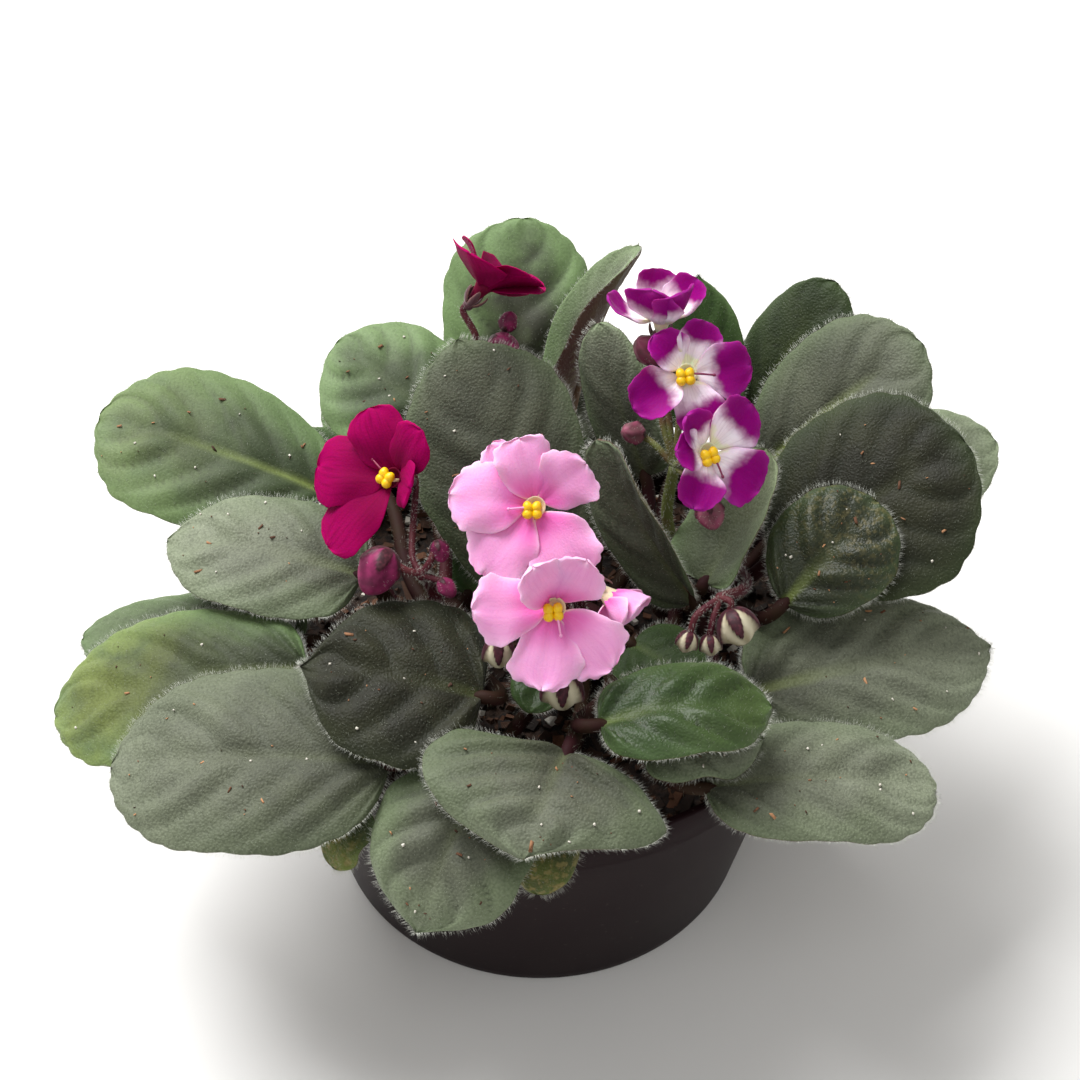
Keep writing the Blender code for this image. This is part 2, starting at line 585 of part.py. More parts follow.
def make_anthers(name, bloom, group):
    """The pair of yellow pollen sacs that stands in a bloom's mouth."""
    right, up, front = bloom_axes(bloom)
    middle = np.array(bloom["mouth"], float) + front * 1.6 - up * 0.4
    first = egg(name, middle - right * 0.85, up, 2.6, 1.1, group, "anther", 6, 4, 0)
    second = egg(f"{name}_second", middle + right * 0.85, up, 2.6, 1.1, group, "anther", 6, 4, 0)
    return fuse(first, [second])


def main():
    for old in list(bpy.data.objects):
        bpy.data.objects.remove(old)
    plant = bpy.data.collections.new("potted_african_violet")
    cutters = bpy.data.collections.new("cutters")
    bpy.context.scene.collection.children.link(plant)
    bpy.context.scene.collection.children.link(cutters)
    make_pot(plant, cutters)
    make_soil(plant, cutters)
    for crown in CROWNS:
        make_crown(crown, plant)
    for name, blade in LEAVES.items():
        make_leaf(name, blade, plant)
    for name, bloom in BLOOMS.items():
        make_bloom(name, bloom, plant)
        if bloom["anthers"]:
            make_anthers(name.replace("bloom", "anthers"), bloom, plant)
    for name, spray in SPRAYS.items():
        make_spray(name, spray, plant)


main()
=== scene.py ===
"""Potted african violet: hairy quilted leaves, velvety blooms and a black nursery pot.

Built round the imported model, in its frame: metres, +Z up, the front towards -Y.  Leaves,
petals and sepals are blades, a surface of two parameters; stems, buds and the pot are
rings carried along a path.  Sizes in the tables are millimetres.
"""
from functools import partial
from math import cos, pi, radians, sin

import bpy
import numpy as np
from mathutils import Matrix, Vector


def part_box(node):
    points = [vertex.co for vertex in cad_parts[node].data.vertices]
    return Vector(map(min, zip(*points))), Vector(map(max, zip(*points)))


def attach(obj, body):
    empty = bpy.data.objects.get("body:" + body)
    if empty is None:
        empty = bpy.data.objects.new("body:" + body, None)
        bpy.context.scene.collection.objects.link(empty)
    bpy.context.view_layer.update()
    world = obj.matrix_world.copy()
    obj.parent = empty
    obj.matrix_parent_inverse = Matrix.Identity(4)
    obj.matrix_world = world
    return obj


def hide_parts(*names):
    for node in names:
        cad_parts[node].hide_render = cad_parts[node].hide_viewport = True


bl_info = {
    "name": "Potted African Violet",
    "version": (1, 0, 0),
    "blender": (4, 5, 0),
    "location": "3D View > Sidebar > Violet",
    "description": "Leaves, blooms, flower stalks, potting mix and pot of an african violet",
    "category": "Add Mesh",
}

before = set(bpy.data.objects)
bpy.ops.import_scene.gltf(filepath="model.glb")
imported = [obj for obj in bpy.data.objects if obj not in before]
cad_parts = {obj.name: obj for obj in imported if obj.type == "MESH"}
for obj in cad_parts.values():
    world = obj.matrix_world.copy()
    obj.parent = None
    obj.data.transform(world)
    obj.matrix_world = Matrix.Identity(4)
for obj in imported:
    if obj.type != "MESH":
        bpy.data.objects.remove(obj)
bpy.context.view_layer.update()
POT_LOW, POT_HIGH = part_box("pot")
MM = 0.001

# Pot and potting mix, in mm
POT_HEIGHT = POT_HIGH.z / MM
RIM_RADIUS = POT_HIGH.x / MM
RIM_SKIRT = 10
RIM_STEP = 1.8
BASE_RADIUS = 49
WALL = 1.3
LIP = 0.6
FLOOR = 1.6
DRAIN_HOLES = 8
DRAIN_RADIUS = 3.6
DRAIN_RING = 38
SOIL_TOP = 60.6

# Short upright stems, in mm
CROWN_RADIUS = 5.5
CROWN_FOOT = 43
CROWN_TOP = 78
CROWN_DOME = 2.6
CROWNS = {"crimson": (-22, -4), "pink": (9, -6), "bicolour": (31, 13)}

# Leaves, petals and pollen sacs, in mm
LEAF_THICK = 1.2
STALK_GAP = 0.35
STALK_FOOT = 1.0
STALK_STEPS = 21
PETAL_THICK = 0.5
PETAL_ROOT = 1.4
PETAL_DROP = 0.6
PETAL_TILT = 0.16
THROAT_DEPTH = 4.5
SAC_LENGTH = 2.4
SAC_RADIUS = 1.08
# Left free between pieces that would touch
GAP = 0.3

# Patterns drawn coarser than they are, so that they show: the pebbles of a leaf's skin and
# the velvet of a petal, in mm.  Hairs are drawn wider than they are for the same reason.
PEBBLE = 0.5
VELVET = 0.45
# Veins across a petal
PETAL_VEINS = 11.0

# Flower stalks: radii at the start and the end, and the calyx behind a bloom
STEM_RADII = (1.5, 1.2)
BRANCH_RADII = (0.8, 0.7)
CALYX = dict(length=4.2, width=1.9, spread=1.3, reach=1.2)

# Hairs: the share on a leaf's upper side, those on each mm of margin, of leaf stalk and of
# flower stalk with the length of these, and those on a bud
UPPER_HAIRS = 0.88
MARGIN_HAIRS = 9
LEAF_STALK_HAIRS = 3
FLOWER_STALK_HAIRS = (14, 1.1)
BUD_HAIRS = 90

# Amounts on the potting mix and on each littered leaf
FINES = 900
PERLITE = 50
LEAF_BARK = 15
LEAF_PERLITE = 5


def leaf(plant, base, tip, width, face, leaves, height, **looks):
    """A leaf: its blade's base and tip, its full width and the way its upper side faces.

    It leaves its plant's stem at the compass angle `leaves` and at `height`.  Of its looks,
    `pale`, `fresh` and `yellow` tint it, its painted sheen, standing for the sheen of lit hairs,
    greys it towards its tip, `edge` lightens its margin and `rib` its midrib, `speckle` browns it,
    `quilt` is how far it swells between its side veins, in mm, `pull` is how far its stalk keeps
    its first and last direction, and the rest shapes its outline.
    """
    return dict(plant=plant, base=base, tip=tip, width=width, face=face,
                leaves=leaves, height=height, **looks)


LEAVES = {
    # Left side, from the lowest to the highest
    "leaf_left_low": leaf(
        "crimson", (-52, -9, 72), (-103, -1, 64), 28, (0, 0, 1), 184, 64, arch=0.05, felt=0.3,
        pale=0.3, edge=0.6, fresh=0.3),
    "leaf_left_yellow": leaf(
        "crimson", (-50, -21, 76), (-106, -22, 62), 38, (-0.1, -0.2, 1), 200, 68, arch=0.09,
        skew=1.1, felt=0.2, pale=0.35, fresh=0.12, edge=0.8, yellow=0.4, quilt=1.8, rib=0.3,
        ribs=6),
    "leaf_left_back": leaf(
        "crimson", (-50, 34, 76), (-103, 49, 86), 42, (0, -0.35, 1), 145, 67, arch=0.05, skew=1.25,
        felt=0.3, pale=0.55, fresh=0.3, edge=0.7, quilt=1.6, yellow=0.12, rib=0.7, wobble=0.03),
    "leaf_left_middle": leaf(
        "crimson", (-39, 0, 83), (-83, 12, 82), 32, (0, -0.2, 1), 165, 71.5, arch=0.08, skew=0.95,
        felt=1.0, pale=0.25, edge=0.12, quilt=1.7, point=0.5, rib=0.3),
    "leaf_left_front": leaf(
        "crimson", (-31, -48, 77), (-90, -41, 68), 44, (-0.1, -0.25, 1), 250, 68, arch=0.08,
        skew=1.0, heart=0.05, felt=0.7, pale=0.1, edge=0.08, quilt=1.9, rib=0.1),
    "leaf_left_inner": leaf(
        "crimson", (-12, -35.7, 84), (-50, -30, 87), 40, (-0.1, -0.22, 1), 295, 72, arch=0.08,
        edge=0.05, quilt=2.6, rib=0.15, ribs=3.8, point=1.6, scallop=0.03),
    # Front, over the rim
    "leaf_front_torn": leaf(
        "crimson", (-36, -55, 72.5), (-43, -61, 60), 12, (-0.3, -0.4, 1), 268, 63.7, arch=0.12,
        pull=(0.5, 0.1), yellow=0.4, fresh=0.2, speckle=1.0, quilt=0.5, wobble=0.08),
    "leaf_front_hanging": leaf(
        "pink", (-11.5, -52, 76.5), (-25, -77, 59), 35, (-0.1, -0.4, 1), 238, 65, arch=0.15,
        pull=(0.5, 0.15), felt=0.65, pale=0.35, edge=0.15, quilt=2.2, point=1.2, ribs=4),
    "leaf_front_olive": leaf(
        "pink", (3.4, -53, 75), (-0.6, -69, 61), 15, (0, -0.5, 1), 272, 63.7, arch=0.2,
        pull=(0.5, 0.1), yellow=0.3, fresh=0.1, speckle=1.0, quilt=0.5),
    "leaf_front_broad": leaf(
        "pink", (5.5, -50, 83.5), (-3, -75, 81), 54, (0, 0, 1), 272, 69, arch=0.1, cup=(-0.2, 0),
        pull=(0.45, 0.12), felt=0.6, pale=0.2, edge=0.1, quilt=2.4, ribs=4.6, wave=0.9, point=0.6,
        full=(1.25, 1.9), power=(0.75, 0.5)),
    "leaf_front_inner": leaf(
        "pink", (3, -16, 76), (-2, -34, 77), 14, (0, -0.3, 1), 238, 69.5, fresh=0.6, edge=0.4),
    "leaf_front_bright": leaf(
        "pink", (12, -46.5, 87.8), (47, -41, 87.3), 24, (0, -0.1, 1), 308, 68, arch=0.1, skew=1.0,
        fresh=0.5, edge=0.35, yellow=0.05, quilt=3.0, ribs=4.2, rib=0.4, point=0.2),
    "leaf_front_under": leaf(
        "pink", (21, -42, 77.5), (46, -42, 78), 20, (0, -0.3, 1), 327, 63.7, arch=0.08, felt=0.9,
        edge=0.5, fresh=0.15, quilt=1.5, wobble=0.05, wave=1.2),
    # Right side
    "leaf_right_inner": leaf(
        "pink", (20, -11.5, 73.5), (34, -24, 73.5), 20, (0, -0.3, 1), 345, 67.5, fresh=0.4,
        edge=0.4),
    "leaf_right_front": leaf(
        "bicolour", (34, -51, 73), (83, -46, 67), 31, (0, -0.1, 1), 268, 64, arch=0.08, skew=1.1,
        felt=0.95, pale=0.2, edge=0.12, quilt=2.2),
    "leaf_right_low": leaf(
        "bicolour", (45, -26, 74), (100, -8, 69), 36, (0, -0.3, 1), 300, 65, arch=0.05, skew=0.9,
        felt=1.0, pale=0.15, edge=0.25, quilt=2.5, rib=0.6, point=0.9, scallop=0.03),
    "leaf_right_cupped": leaf(
        "bicolour", (52.3, -11, 86), (72.8, 5.5, 100.5), 28, (-0.1, -0.6, 1), 322, 71.5, arch=0.04,
        heart=0.03, skew=1.15, fresh=0.1, edge=0.25, quilt=3.0, rib=0.6, ribs=4.4, speckle=0.35),
    "leaf_right_dark": leaf(
        "bicolour", (51, 3, 85), (92, 15, 109), 48, (-0.3, -0.6, 1), 345, 66.5, arch=0.03, skew=1.2,
        heart=0, edge=0.15, quilt=1.4, rib=0.1, point=0.3),
    "leaf_right_far": leaf(
        "bicolour", (60, 25, 76), (104, 37, 90), 36, (-0.1, -0.3, 1), 12, 63.7, arch=0.05, felt=0.8,
        pale=0.3, edge=0.4),
    "leaf_right_upper": leaf(
        "bicolour", (50, 29, 88), (84, 39, 117), 37, (-0.4, -0.6, 1), 38, 71, arch=0.05, skew=1.2,
        heart=0, felt=0.45, pale=0.05, edge=0.3, quilt=1.5, rib=0.9),
    "leaf_right_folded": leaf(
        "bicolour", (36, -1, 82), (49, 16, 106), 24, (-0.3, -0.2, 1), 290, 75.5, arch=-0.05,
        cup=(0.1, 0.6), skew=(0.55, 1.0), felt=0.9, pale=0.2, fresh=0.2, edge=1.0, yellow=0.15,
        ribs=3),
    "leaf_centre_rolled": leaf(
        "bicolour", (34, -4, 79), (12, 9, 115), 20, (-0.4, -0.8, 0.3), 262, 73, arch=0.05,
        cup=(0.1, 0.7), skew=(0.85, 2.4), felt=0.45, pale=0.1, edge=0.3, quilt=1.6, rib=0.2),
    # Back
    "leaf_back_right": leaf(
        "bicolour", (50.6, 52, 82), (69, 68, 111), 26, (-0.4, -0.6, 1), 75, 69, arch=0.05,
        pull=(0.6, 0.2), fresh=0.2, edge=0.2, rib=0.7),
    "leaf_back_pointed": leaf(
        "bicolour", (38, 49, 82), (37, 71, 111), 22, (0, -0.6, 1), 104, 71, arch=0.03,
        pull=(0.6, 0.1), fresh=0.6, edge=0.7, point=1.2),
    "leaf_back_folded": leaf(
        "pink", (5, 49, 82), (23, 66, 123), 25, (-0.6, 0.2, 0.7), 90, 72.5, arch=0.05, cup=0.6,
        pull=(0.6, 0.15), felt=0.6, pale=0.5, edge=0.8),
    "leaf_back_narrow": leaf(
        "pink", (24, 29, 86), (13, 46, 117), 18, (-0.4, -0.8, 0.5), 62, 68.5, arch=0.05, felt=0.8,
        edge=0.8, rib=0.2),
    "leaf_back_light": leaf(
        "pink", (-7, 62, 73), (-4, 97, 108), 38, (0, -0.7, 0.7), 108, 67, arch=0.05, skew=1.1,
        pull=(0.6, 0.1), felt=0.2, pale=1.0, edge=0.8, quilt=1.7, rib=0.1, ribs=4),
    "leaf_back_left": leaf(
        "crimson", (-21, 51, 79), (-49, 71, 90), 37, (0, -0.4, 1), 96, 70, arch=0.05, heart=0.05,
        felt=0.35, pale=1.0, fresh=0.3, edge=0.8, quilt=1.7, rib=0.1),
    "leaf_back_small": leaf(
        "crimson", (-43, 43, 74.5), (-58, 50, 79), 13, (0, -0.3, 1), 122, 72.5, fresh=0.5,
        edge=0.7),
    "leaf_centre_upright": leaf(
        "pink", (1, -0.4, 81.5), (-18, 36, 120), 40, (0, -0.7, 0.7), 150, 73, arch=0.05, skew=1.1,
        felt=0.35, edge=0.3, quilt=1.2, rib=0.1, point=0.5),
    "leaf_centre_young": leaf(
        "crimson", (-16, 4, 73), (-12, 14, 81), 16, (0, -0.3, 1), 50, 66, fresh=0.9, edge=0.6,
        yellow=0.2),
    # Low leaves that reach over the rim at the back
    "leaf_rear_left": leaf(
        "crimson", (-30, 48, 72), (-44, 88, 67), 34, (0, 0, 1), 85, 64, arch=0.08, pale=0.3,
        fresh=0.3, edge=0.5),
    "leaf_rear_middle": leaf(
        "pink", (15, 55, 71.8), (18, 96, 67), 29, (0, 0, 1), 80, 63.7, arch=0.08, pale=0.2,
        edge=0.5),
    "leaf_rear_right": leaf(
        "bicolour", (50, 48, 73.5), (77, 80, 67), 30, (0, 0, 1), 46, 63.7, arch=0.12,
        pull=(0.5, 0.3), pale=0.3, edge=0.5),
}

# A bloom by the middle of its mouth, the way it faces, and its petals.  A petal is the
# angle round the mouth (0 to the right, 90 up, as seen from the front), its length, its
# width and how far it leans forward, in degrees.  `frill` and `teeth` scale the ripple and
# the small scallops of the margin, `arch` and `cup` bow the petals along and across, and
# `shift` moves a two-toned petal's dark part outwards.
BLOOMS = {
    "bloom_crimson_front": dict(
        mouth=(-31, 4, 109), facing=(-0.55, -0.5, 0.66), anthers=True, frill=0.6, teeth=0.015,
        petals=((140, 16, 13.5, 18), (74, 15, 11, 25), (205, 19, 17, 14), (258, 21, 16.5, 10),
                (12, 11, 10.5, 36))),
    "bloom_crimson_back": dict(
        mouth=(-12, 47, 127), facing=(0.62, 0.45, 0.6), anthers=False, frill=0.3, cup=0.15, teeth=0.015,
        petals=((105, 16, 14, 16), (170, 14, 14, 42), (234, 14, 14, 42), (300, 16, 14, 20),
                (30, 12, 12, 30))),
    "bloom_pink_upper": dict(
        mouth=(-1, -9, 113), facing=(0, -0.72, 0.69), anthers=True,
        petals=((103, 15, 13, 12), (40, 14, 13, 12), (172, 18, 15, 8), (232, 18, 15, 6), (305, 18, 15, 6),
                (126, 16, 9, -3))),
    "bloom_pink_lower": dict(
        mouth=(3, -31, 106), facing=(0.1, -0.75, 0.65), anthers=True,
        petals=((115, 13, 12, 40), (55, 13, 12, 30), (175, 17, 14, 10), (255, 17, 14, 8), (308, 17, 14, 8))),
    "bloom_pink_side": dict(
        mouth=(15, -22, 99), facing=(0.75, -0.6, -0.25), anthers=False, frill=0.2, arch=-0.16, cup=0.35,
        teeth=0.015,
        petals=((90, 9, 9, 64), (162, 9, 9, 60), (234, 11, 10, 30), (306, 11, 10, 30), (18, 9, 9, 60))),
    "bloom_bicolour_top": dict(
        mouth=(26, 30.5, 131), facing=(0.05, 0.1, 1), anthers=False, frill=0.5, arch=-0.16, cup=0.3,
        teeth=0.02, shift=-0.1,
        petals=((100, 12, 11, 42), (35, 12, 11, 42), (175, 13, 10, 24), (236, 12.5, 13, 68),
                (302, 12.5, 13, 66))),
    "bloom_bicolour_middle": dict(
        mouth=(31, 19, 125), facing=(0.1, -0.7, 0.7), anthers=True, frill=0.6, cup=0.25,
        teeth=0.025,
        petals=((127, 11, 10, 12), (66, 12, 10, 12), (2, 14, 12, 8), (208, 14, 12, 8), (283, 13, 12, 8))),
    "bloom_bicolour_lower": dict(
        mouth=(35, 2, 118), facing=(0.35, -0.65, 0.6), anthers=True, frill=0.6, cup=0.25,
        teeth=0.025,
        petals=((112, 11, 9, 25), (30, 14, 12, 10), (160, 10, 9, 28), (230, 13, 11, 15), (308, 14, 13, 8))),
}

# A flower stalk by the route of its main stem, then a branch to the back of each bloom
# and to each bud.  A bud is where it hangs, the way its tip points, its length and radius.
SPRAYS = {
    "spray_crimson_front": dict(
        stem=((-22.5, -3.5, 78.4), (-24, -5, 87), (-25, -13, 97)),
        blooms={"bloom_crimson_front": ((-27, -8, 99),)},
        buds=(((-34, -13, 98), (-0.5, -0.6, -0.7), 11, 4.4, ((-29, -13, 99),)),
              ((-21, -10, 101), (0.3, -0.6, -0.7), 5, 2.1, ((-23, -12, 100),)),
              ((-19.5, -16, 96), (0.5, -0.6, -0.2), 5, 1.9, ())),
    ),
    "spray_crimson_back": dict(
        stem=((-21, 0, 78.2), (-20, 18, 87), (-14, 36, 108)),
        blooms={"bloom_crimson_back": ((-14, 40, 117),)},
        buds=(((-8, 40, 115), (0.6, -0.5, 0.2), 8, 3, ((-12, 37, 112),)),
              ((-7, 45, 118), (0.3, 0.2, 0.9), 5, 2.1, ((-10, 42, 114),)),
              ((-41, 21, 99), (-0.6, -0.3, 0.6), 8, 2.8, ((-24, 20, 93),))),
    ),
    "spray_pink": dict(
        stem=((9, -7, 78.4), (8, -11, 87), (6, -15, 95)),
        blooms={"bloom_pink_upper": ((4, -9, 103),),
                "bloom_pink_lower": ((6, -19, 99),),
                "bloom_pink_side": ((8, -17, 99),)},
        buds=(((-8.5, -29.5, 91), (0, -0.4, -0.9), 7, 3.1, ((-1, -20, 98), (-7.5, -27.5, 96.5))),
              ((4.5, -38, 89), (0, -0.4, -0.9), 9, 4, ((5, -25, 96), (4.5, -36, 95)))),
    ),
    "spray_bicolour": dict(
        stem=((30, 13, 78.4), (28, 12, 91), (29, 12, 105)),
        blooms={"bloom_bicolour_top": ((27, 21, 117),),
                "bloom_bicolour_middle": ((30, 18, 115),),
                "bloom_bicolour_lower": ((31, 8, 110),)},
        buds=(((23.5, 28, 124), (-0.5, -0.2, 0.7), 9, 3.3, ((26, 19, 114),)),
              ((20, 17, 110), (-0.6, -0.4, 0.5), 6, 2.5, ((25, 15, 108),)),
              ((36, -2, 104), (0.3, -0.6, -0.7), 7, 3.1, ((33, 4, 107),))),
    ),
    "spray_right": dict(
        stem=((34.5, 12, 79.2), (41, 8, 80.5), (45, 0, 82.5), (43.5, -8, 87), (38, -15, 92)),
        blooms={},
        buds=(((41.5, -20, 88.5), (0.4, -0.5, -0.7), 8.5, 4, ((40, -17, 93),)),
              ((31, -22, 86), (-0.3, -0.5, -0.8), 5, 2.2, ((33, -19, 91),)),
              ((36, -22, 85), (0.1, -0.5, -0.9), 5, 2.2, ((36.5, -19, 90),))),
    ),
}

# Looks of a leaf, where its own row does not say
USUAL_LOOKS = dict(cup=-0.1, quilt=1.0, wobble=0.025, scallop=0.018, point=0.15, wave=0.5, waves=2.3,
                   pale=0, fresh=0, yellow=0, speckle=0, felt=0, edge=0.2, rib=0.15)
LITTERED = ("leaf_left_back", "leaf_left_middle", "leaf_left_front", "leaf_left_inner", "leaf_left_yellow",
            "leaf_front_broad", "leaf_front_hanging", "leaf_centre_upright", "leaf_right_dark",
            "leaf_right_front", "leaf_right_cupped", "leaf_right_low", "leaf_back_left", "leaf_front_under")
GLOSSY = ("leaf_front_bright", "leaf_right_cupped", "leaf_centre_young", "leaf_front_inner")
# The way each bloom's style points, as an angle round the mouth
STYLES = {"bloom_crimson_front": 170, "bloom_pink_upper": 185, "bloom_pink_lower": 275,
          "bloom_bicolour_middle": 350, "bloom_bicolour_lower": 275}
BUD_RIPENESS = {"spray_crimson_front": 1.0, "spray_crimson_back": 1.0, "spray_pink": 0.0,
                "spray_bicolour": 0.9, "spray_right": 0.03}
GREEN_SPRAY = "spray_bicolour"

# A petal's finish: colours of the throat, the inner and the outer part, colour and strength
# of the rim and of the fine veins, and how far out the throat ends, the inner colour is
# full, and the outer one starts and is full, feathered by `wobble`
PETAL_FINISHES = {
    "crimson": dict(
        name="crimson_petal", throat="#701434", inner="#76003a", outer="#960050", rim=("#ae005c", 0.3),
        breaks=(-0.06, 0.03, 0.3, 0.9), wobble=0.1, streak=("#5e002c", 0.5), roughness=0.65),
    "pink": dict(
        name="pink_petal", throat="#f2dcb8", inner="#e668b8", outer="#f3a4d7", rim=("#fbcbe9", 0.8),
        breaks=(-0.06, 0.04, 0.1, 0.6), wobble=0.15, streak=("#e88aca", 0.4), roughness=0.5),
    "bicolour": dict(
        name="two_toned_petal", throat="#f2f3d2", inner="#fff0fb", outer="#86046e", rim=("#b238a2", 0.45),
        breaks=(0.0, 0.1, 0.2, 0.5), wobble=0.34, streak=("#8a1a7c", 0.26), roughness=0.45),
}
STYLE_COLOURS = {"crimson": ("#7d0f3a", "#93234c"), "pink": ("#f3a9d3", "#e993c4"),
                 "bicolour": ("#6a1036", "#8d2d5c")}

# Outline of a throat from its foot to inside its mouth: radii, and distances before the mouth
THROAT_WIDE = np.array([1.1, 1.2, 1.7, 2.1, 2.2, 2.05, 1.8, 1.2, 0.1])
THROAT_AHEAD = np.array([-THROAT_DEPTH, -3.4, -1.6, -0.4, 0.3, 0.5, 0.2, -0.8, -1.4])

# Soft area lights: name, place and side in metres, and power in watts
LIGHTS = (("window", (-0.45, 0.45, 1.05), 0.75, 23), ("fill", (0.2, -0.8, 1.2), 1.0, 3))
ROOM_STRENGTH = 0.45
FLOOR_HALF = 3.0
# Camera: its place in metres, its tilt up from straight down in degrees, its lens in mm
CAMERA_PLACE = (0, -0.3274, 0.421)
CAMERA_TILT = 45.06
CAMERA_LENS = 71.6


def linear(code):
    """An sRGB hex code as linear red, green, blue and alpha."""
    part = np.array([int(code[i:i + 2], 16) for i in (1, 3, 5)]) / 255
    part = np.where(part <= 0.04045, part / 12.92, ((part + 0.055) / 1.055) ** 2.4)
    return (*part.tolist(), 1.0)


# Shapes

def unit(vectors):
    """Vectors at length one."""
    vectors = np.asarray(vectors, float)
    return vectors / np.linalg.norm(vectors, axis=-1, keepdims=True)


def axes_round(axis):
    """Unit directions ahead along an axis, to its right and above it."""
    ahead = unit(axis)
    right = unit(np.cross(ahead, np.eye(3)[np.abs(ahead).argmin()]))
    return ahead, right, np.cross(ahead, right)


def full_turn(count):
    """Angles at even steps once round."""
    return np.linspace(0, 2 * pi, count, endpoint=False)


def spokes(right, above, turn):
    """Directions at the angles `turn` in the plane of each right and above."""
    return (right[:, None] * np.cos(turn)[None, :, None]
            + above[:, None] * np.sin(turn)[None, :, None])


def rings_round(centre, axes, height, wide, turn):
    """Circles of points about an axis, `wide` in radius and `height` along it."""
    ahead, right, above = axes
    return (np.asarray(centre, float) + ahead * height[..., None]
            + right * (wide * np.cos(turn))[..., None] + above * (wide * np.sin(turn))[..., None])


def loft(rings, **marks):
    """Quads between closed rings of points, with a fan of triangles over each end."""
    count, around = rings.shape[:2]
    index = np.arange(count * around).reshape(count, around)
    after = np.roll(index, -1, axis=1)
    quads = np.stack([index[:-1], after[:-1], after[1:], index[1:]], -1).reshape(-1, 4)
    first, last = np.full(around, index.size), np.full(around, index.size + 1)
    caps = np.concatenate([np.stack([after[0], index[0], first], -1),
                           np.stack([index[-1], after[-1], last], -1)])
    points = np.concatenate([rings.reshape(-1, 3), [rings[0].mean(0), rings[-1].mean(0)]])
    for name, value in marks.items():
        value = np.broadcast_to(value, (count, around))
        marks[name] = np.append(value.ravel(), [value[0].mean(), value[-1].mean()])
    return dict(points=points, faces=[quads, caps], marks=marks)


def tube(path, radii, around=10, **marks):
    """Rings round a path.  One fixed direction across the bend keeps them from twisting."""
    path = np.asarray(path, float)
    ahead = unit(np.gradient(path, axis=0))
    across = np.cross(ahead[0], ahead[-1])
    if np.linalg.norm(across) < 0.15:
        across = np.cross(ahead[0], np.eye(3)[np.abs(ahead[0]).argmin()])
    right = unit(np.cross(ahead, across))
    above = np.cross(ahead, right)
    radii = np.broadcast_to(radii, len(path))[:, None, None]
    return loft(path[:, None] + radii * spokes(right, above, full_turn(around)), **marks)


def lathe(profile, around, centre=(0, 0)):
    """A profile of (radius, height) turned about the upright line through `centre`."""
    profile = np.array(profile, float)
    turn = full_turn(around)
    rings = np.stack([centre[0] + profile[:, :1] * np.cos(turn), centre[1] + profile[:, :1] * np.sin(turn),
                      np.broadcast_to(profile[:, 1:], (len(profile), around))], -1)
    return loft(rings)


def hairs(roots, directions, lengths, width, edge):
    """Fine spikes: a small triangle at each root, drawn out to a point."""
    ahead = unit(directions)
    right = unit(np.cross(ahead, (0.31, 0.52, 0.79)))
    above = np.cross(ahead, right)
    base = roots[:, None] + width / 2 * spokes(right, above, np.arange(3) * 2 * pi / 3)
    points = np.concatenate([base, (roots + ahead * lengths[:, None])[:, None]], 1).reshape(-1, 3)
    faces = np.array([[0, 1, 3], [1, 2, 3], [2, 0, 3], [2, 1, 0]])
    return dict(points=points, faces=[(np.arange(len(roots))[:, None, None] * 4 + faces).reshape(-1, 3)],
                marks=dict(edge=np.repeat(np.broadcast_to(edge, len(roots)), 4)))


def crumbs(centres, sizes, rng, **marks):
    """Small broken blocks: boxes with each corner pushed about and turned at random."""
    count, tilt = len(centres), 0.35
    corner = np.array([[x, y, z] for z in (-1, 1) for y in (-1, 1) for x in (-1, 1)], float) / 2
    shape = corner * (1 + rng.uniform(-0.35, 0.25, (count, 8, 3)))
    heading = rng.uniform(0, 2 * pi, count)
    along = unit(np.stack([np.cos(heading), np.sin(heading), rng.normal(0, tilt, count)], -1))
    side = unit(np.cross(along, np.array([0, 0, 1]) + rng.normal(0, tilt, (count, 3))))
    axes = np.stack([along, side, np.cross(along, side)], 1)
    points = centres[:, None] + np.einsum("nkc,ncd->nkd", shape * sizes[:, None], axes)
    faces = np.array([[0, 2, 3, 1], [4, 5, 7, 6], [0, 1, 5, 4], [2, 6, 7, 3], [0, 4, 6, 2], [1, 3, 7, 5]])
    marks = {name: np.repeat(value, 8) for name, value in marks.items()}
    return dict(points=points.reshape(-1, 3), marks=marks,
                faces=[(np.arange(count)[:, None, None] * 8 + faces).reshape(-1, 4)])


def pulled_curve(start, pull_out, pull_in, end, count):
    """Points along a cubic curve between two ends, pulled towards two points."""
    t = np.linspace(0, 1, count)[:, None]
    return (np.multiply(start, (1 - t) ** 3) + 3 * np.multiply(pull_out, t * (1 - t) ** 2)
            + 3 * np.multiply(pull_in, t * t * (1 - t)) + np.multiply(end, t ** 3))


def smooth_route(points, count=8):
    """A curve through the points, each span pulled a sixth of the way between its neighbours."""
    points = [np.array(p, float) for p in points]
    ends = [2 * points[0] - points[1], *points, 2 * points[-1] - points[-2]]
    route = [pulled_curve(b, b + (c - a) / 6, c - (d - b) / 6, c, count + 1)[:-1]
             for a, b, c, d in zip(ends, ends[1:], ends[2:], ends[3:])]
    return np.concatenate([*route, points[-1][None]])


def blade_axes(blade):
    """Directions along the midrib, out of the upper side, and to the right of it."""
    along = unit(np.subtract(blade["tip"], blade["base"]))
    up = np.asarray(blade["face"], float)
    up = unit(up - along * (up @ along))
    return along, up, np.cross(along, up)


def by_side(value, v):
    """A pair is one value for the side where v is below 0 and one for the other."""
    return np.where(v < 0, value[0], value[1]) if isinstance(value, tuple) else value


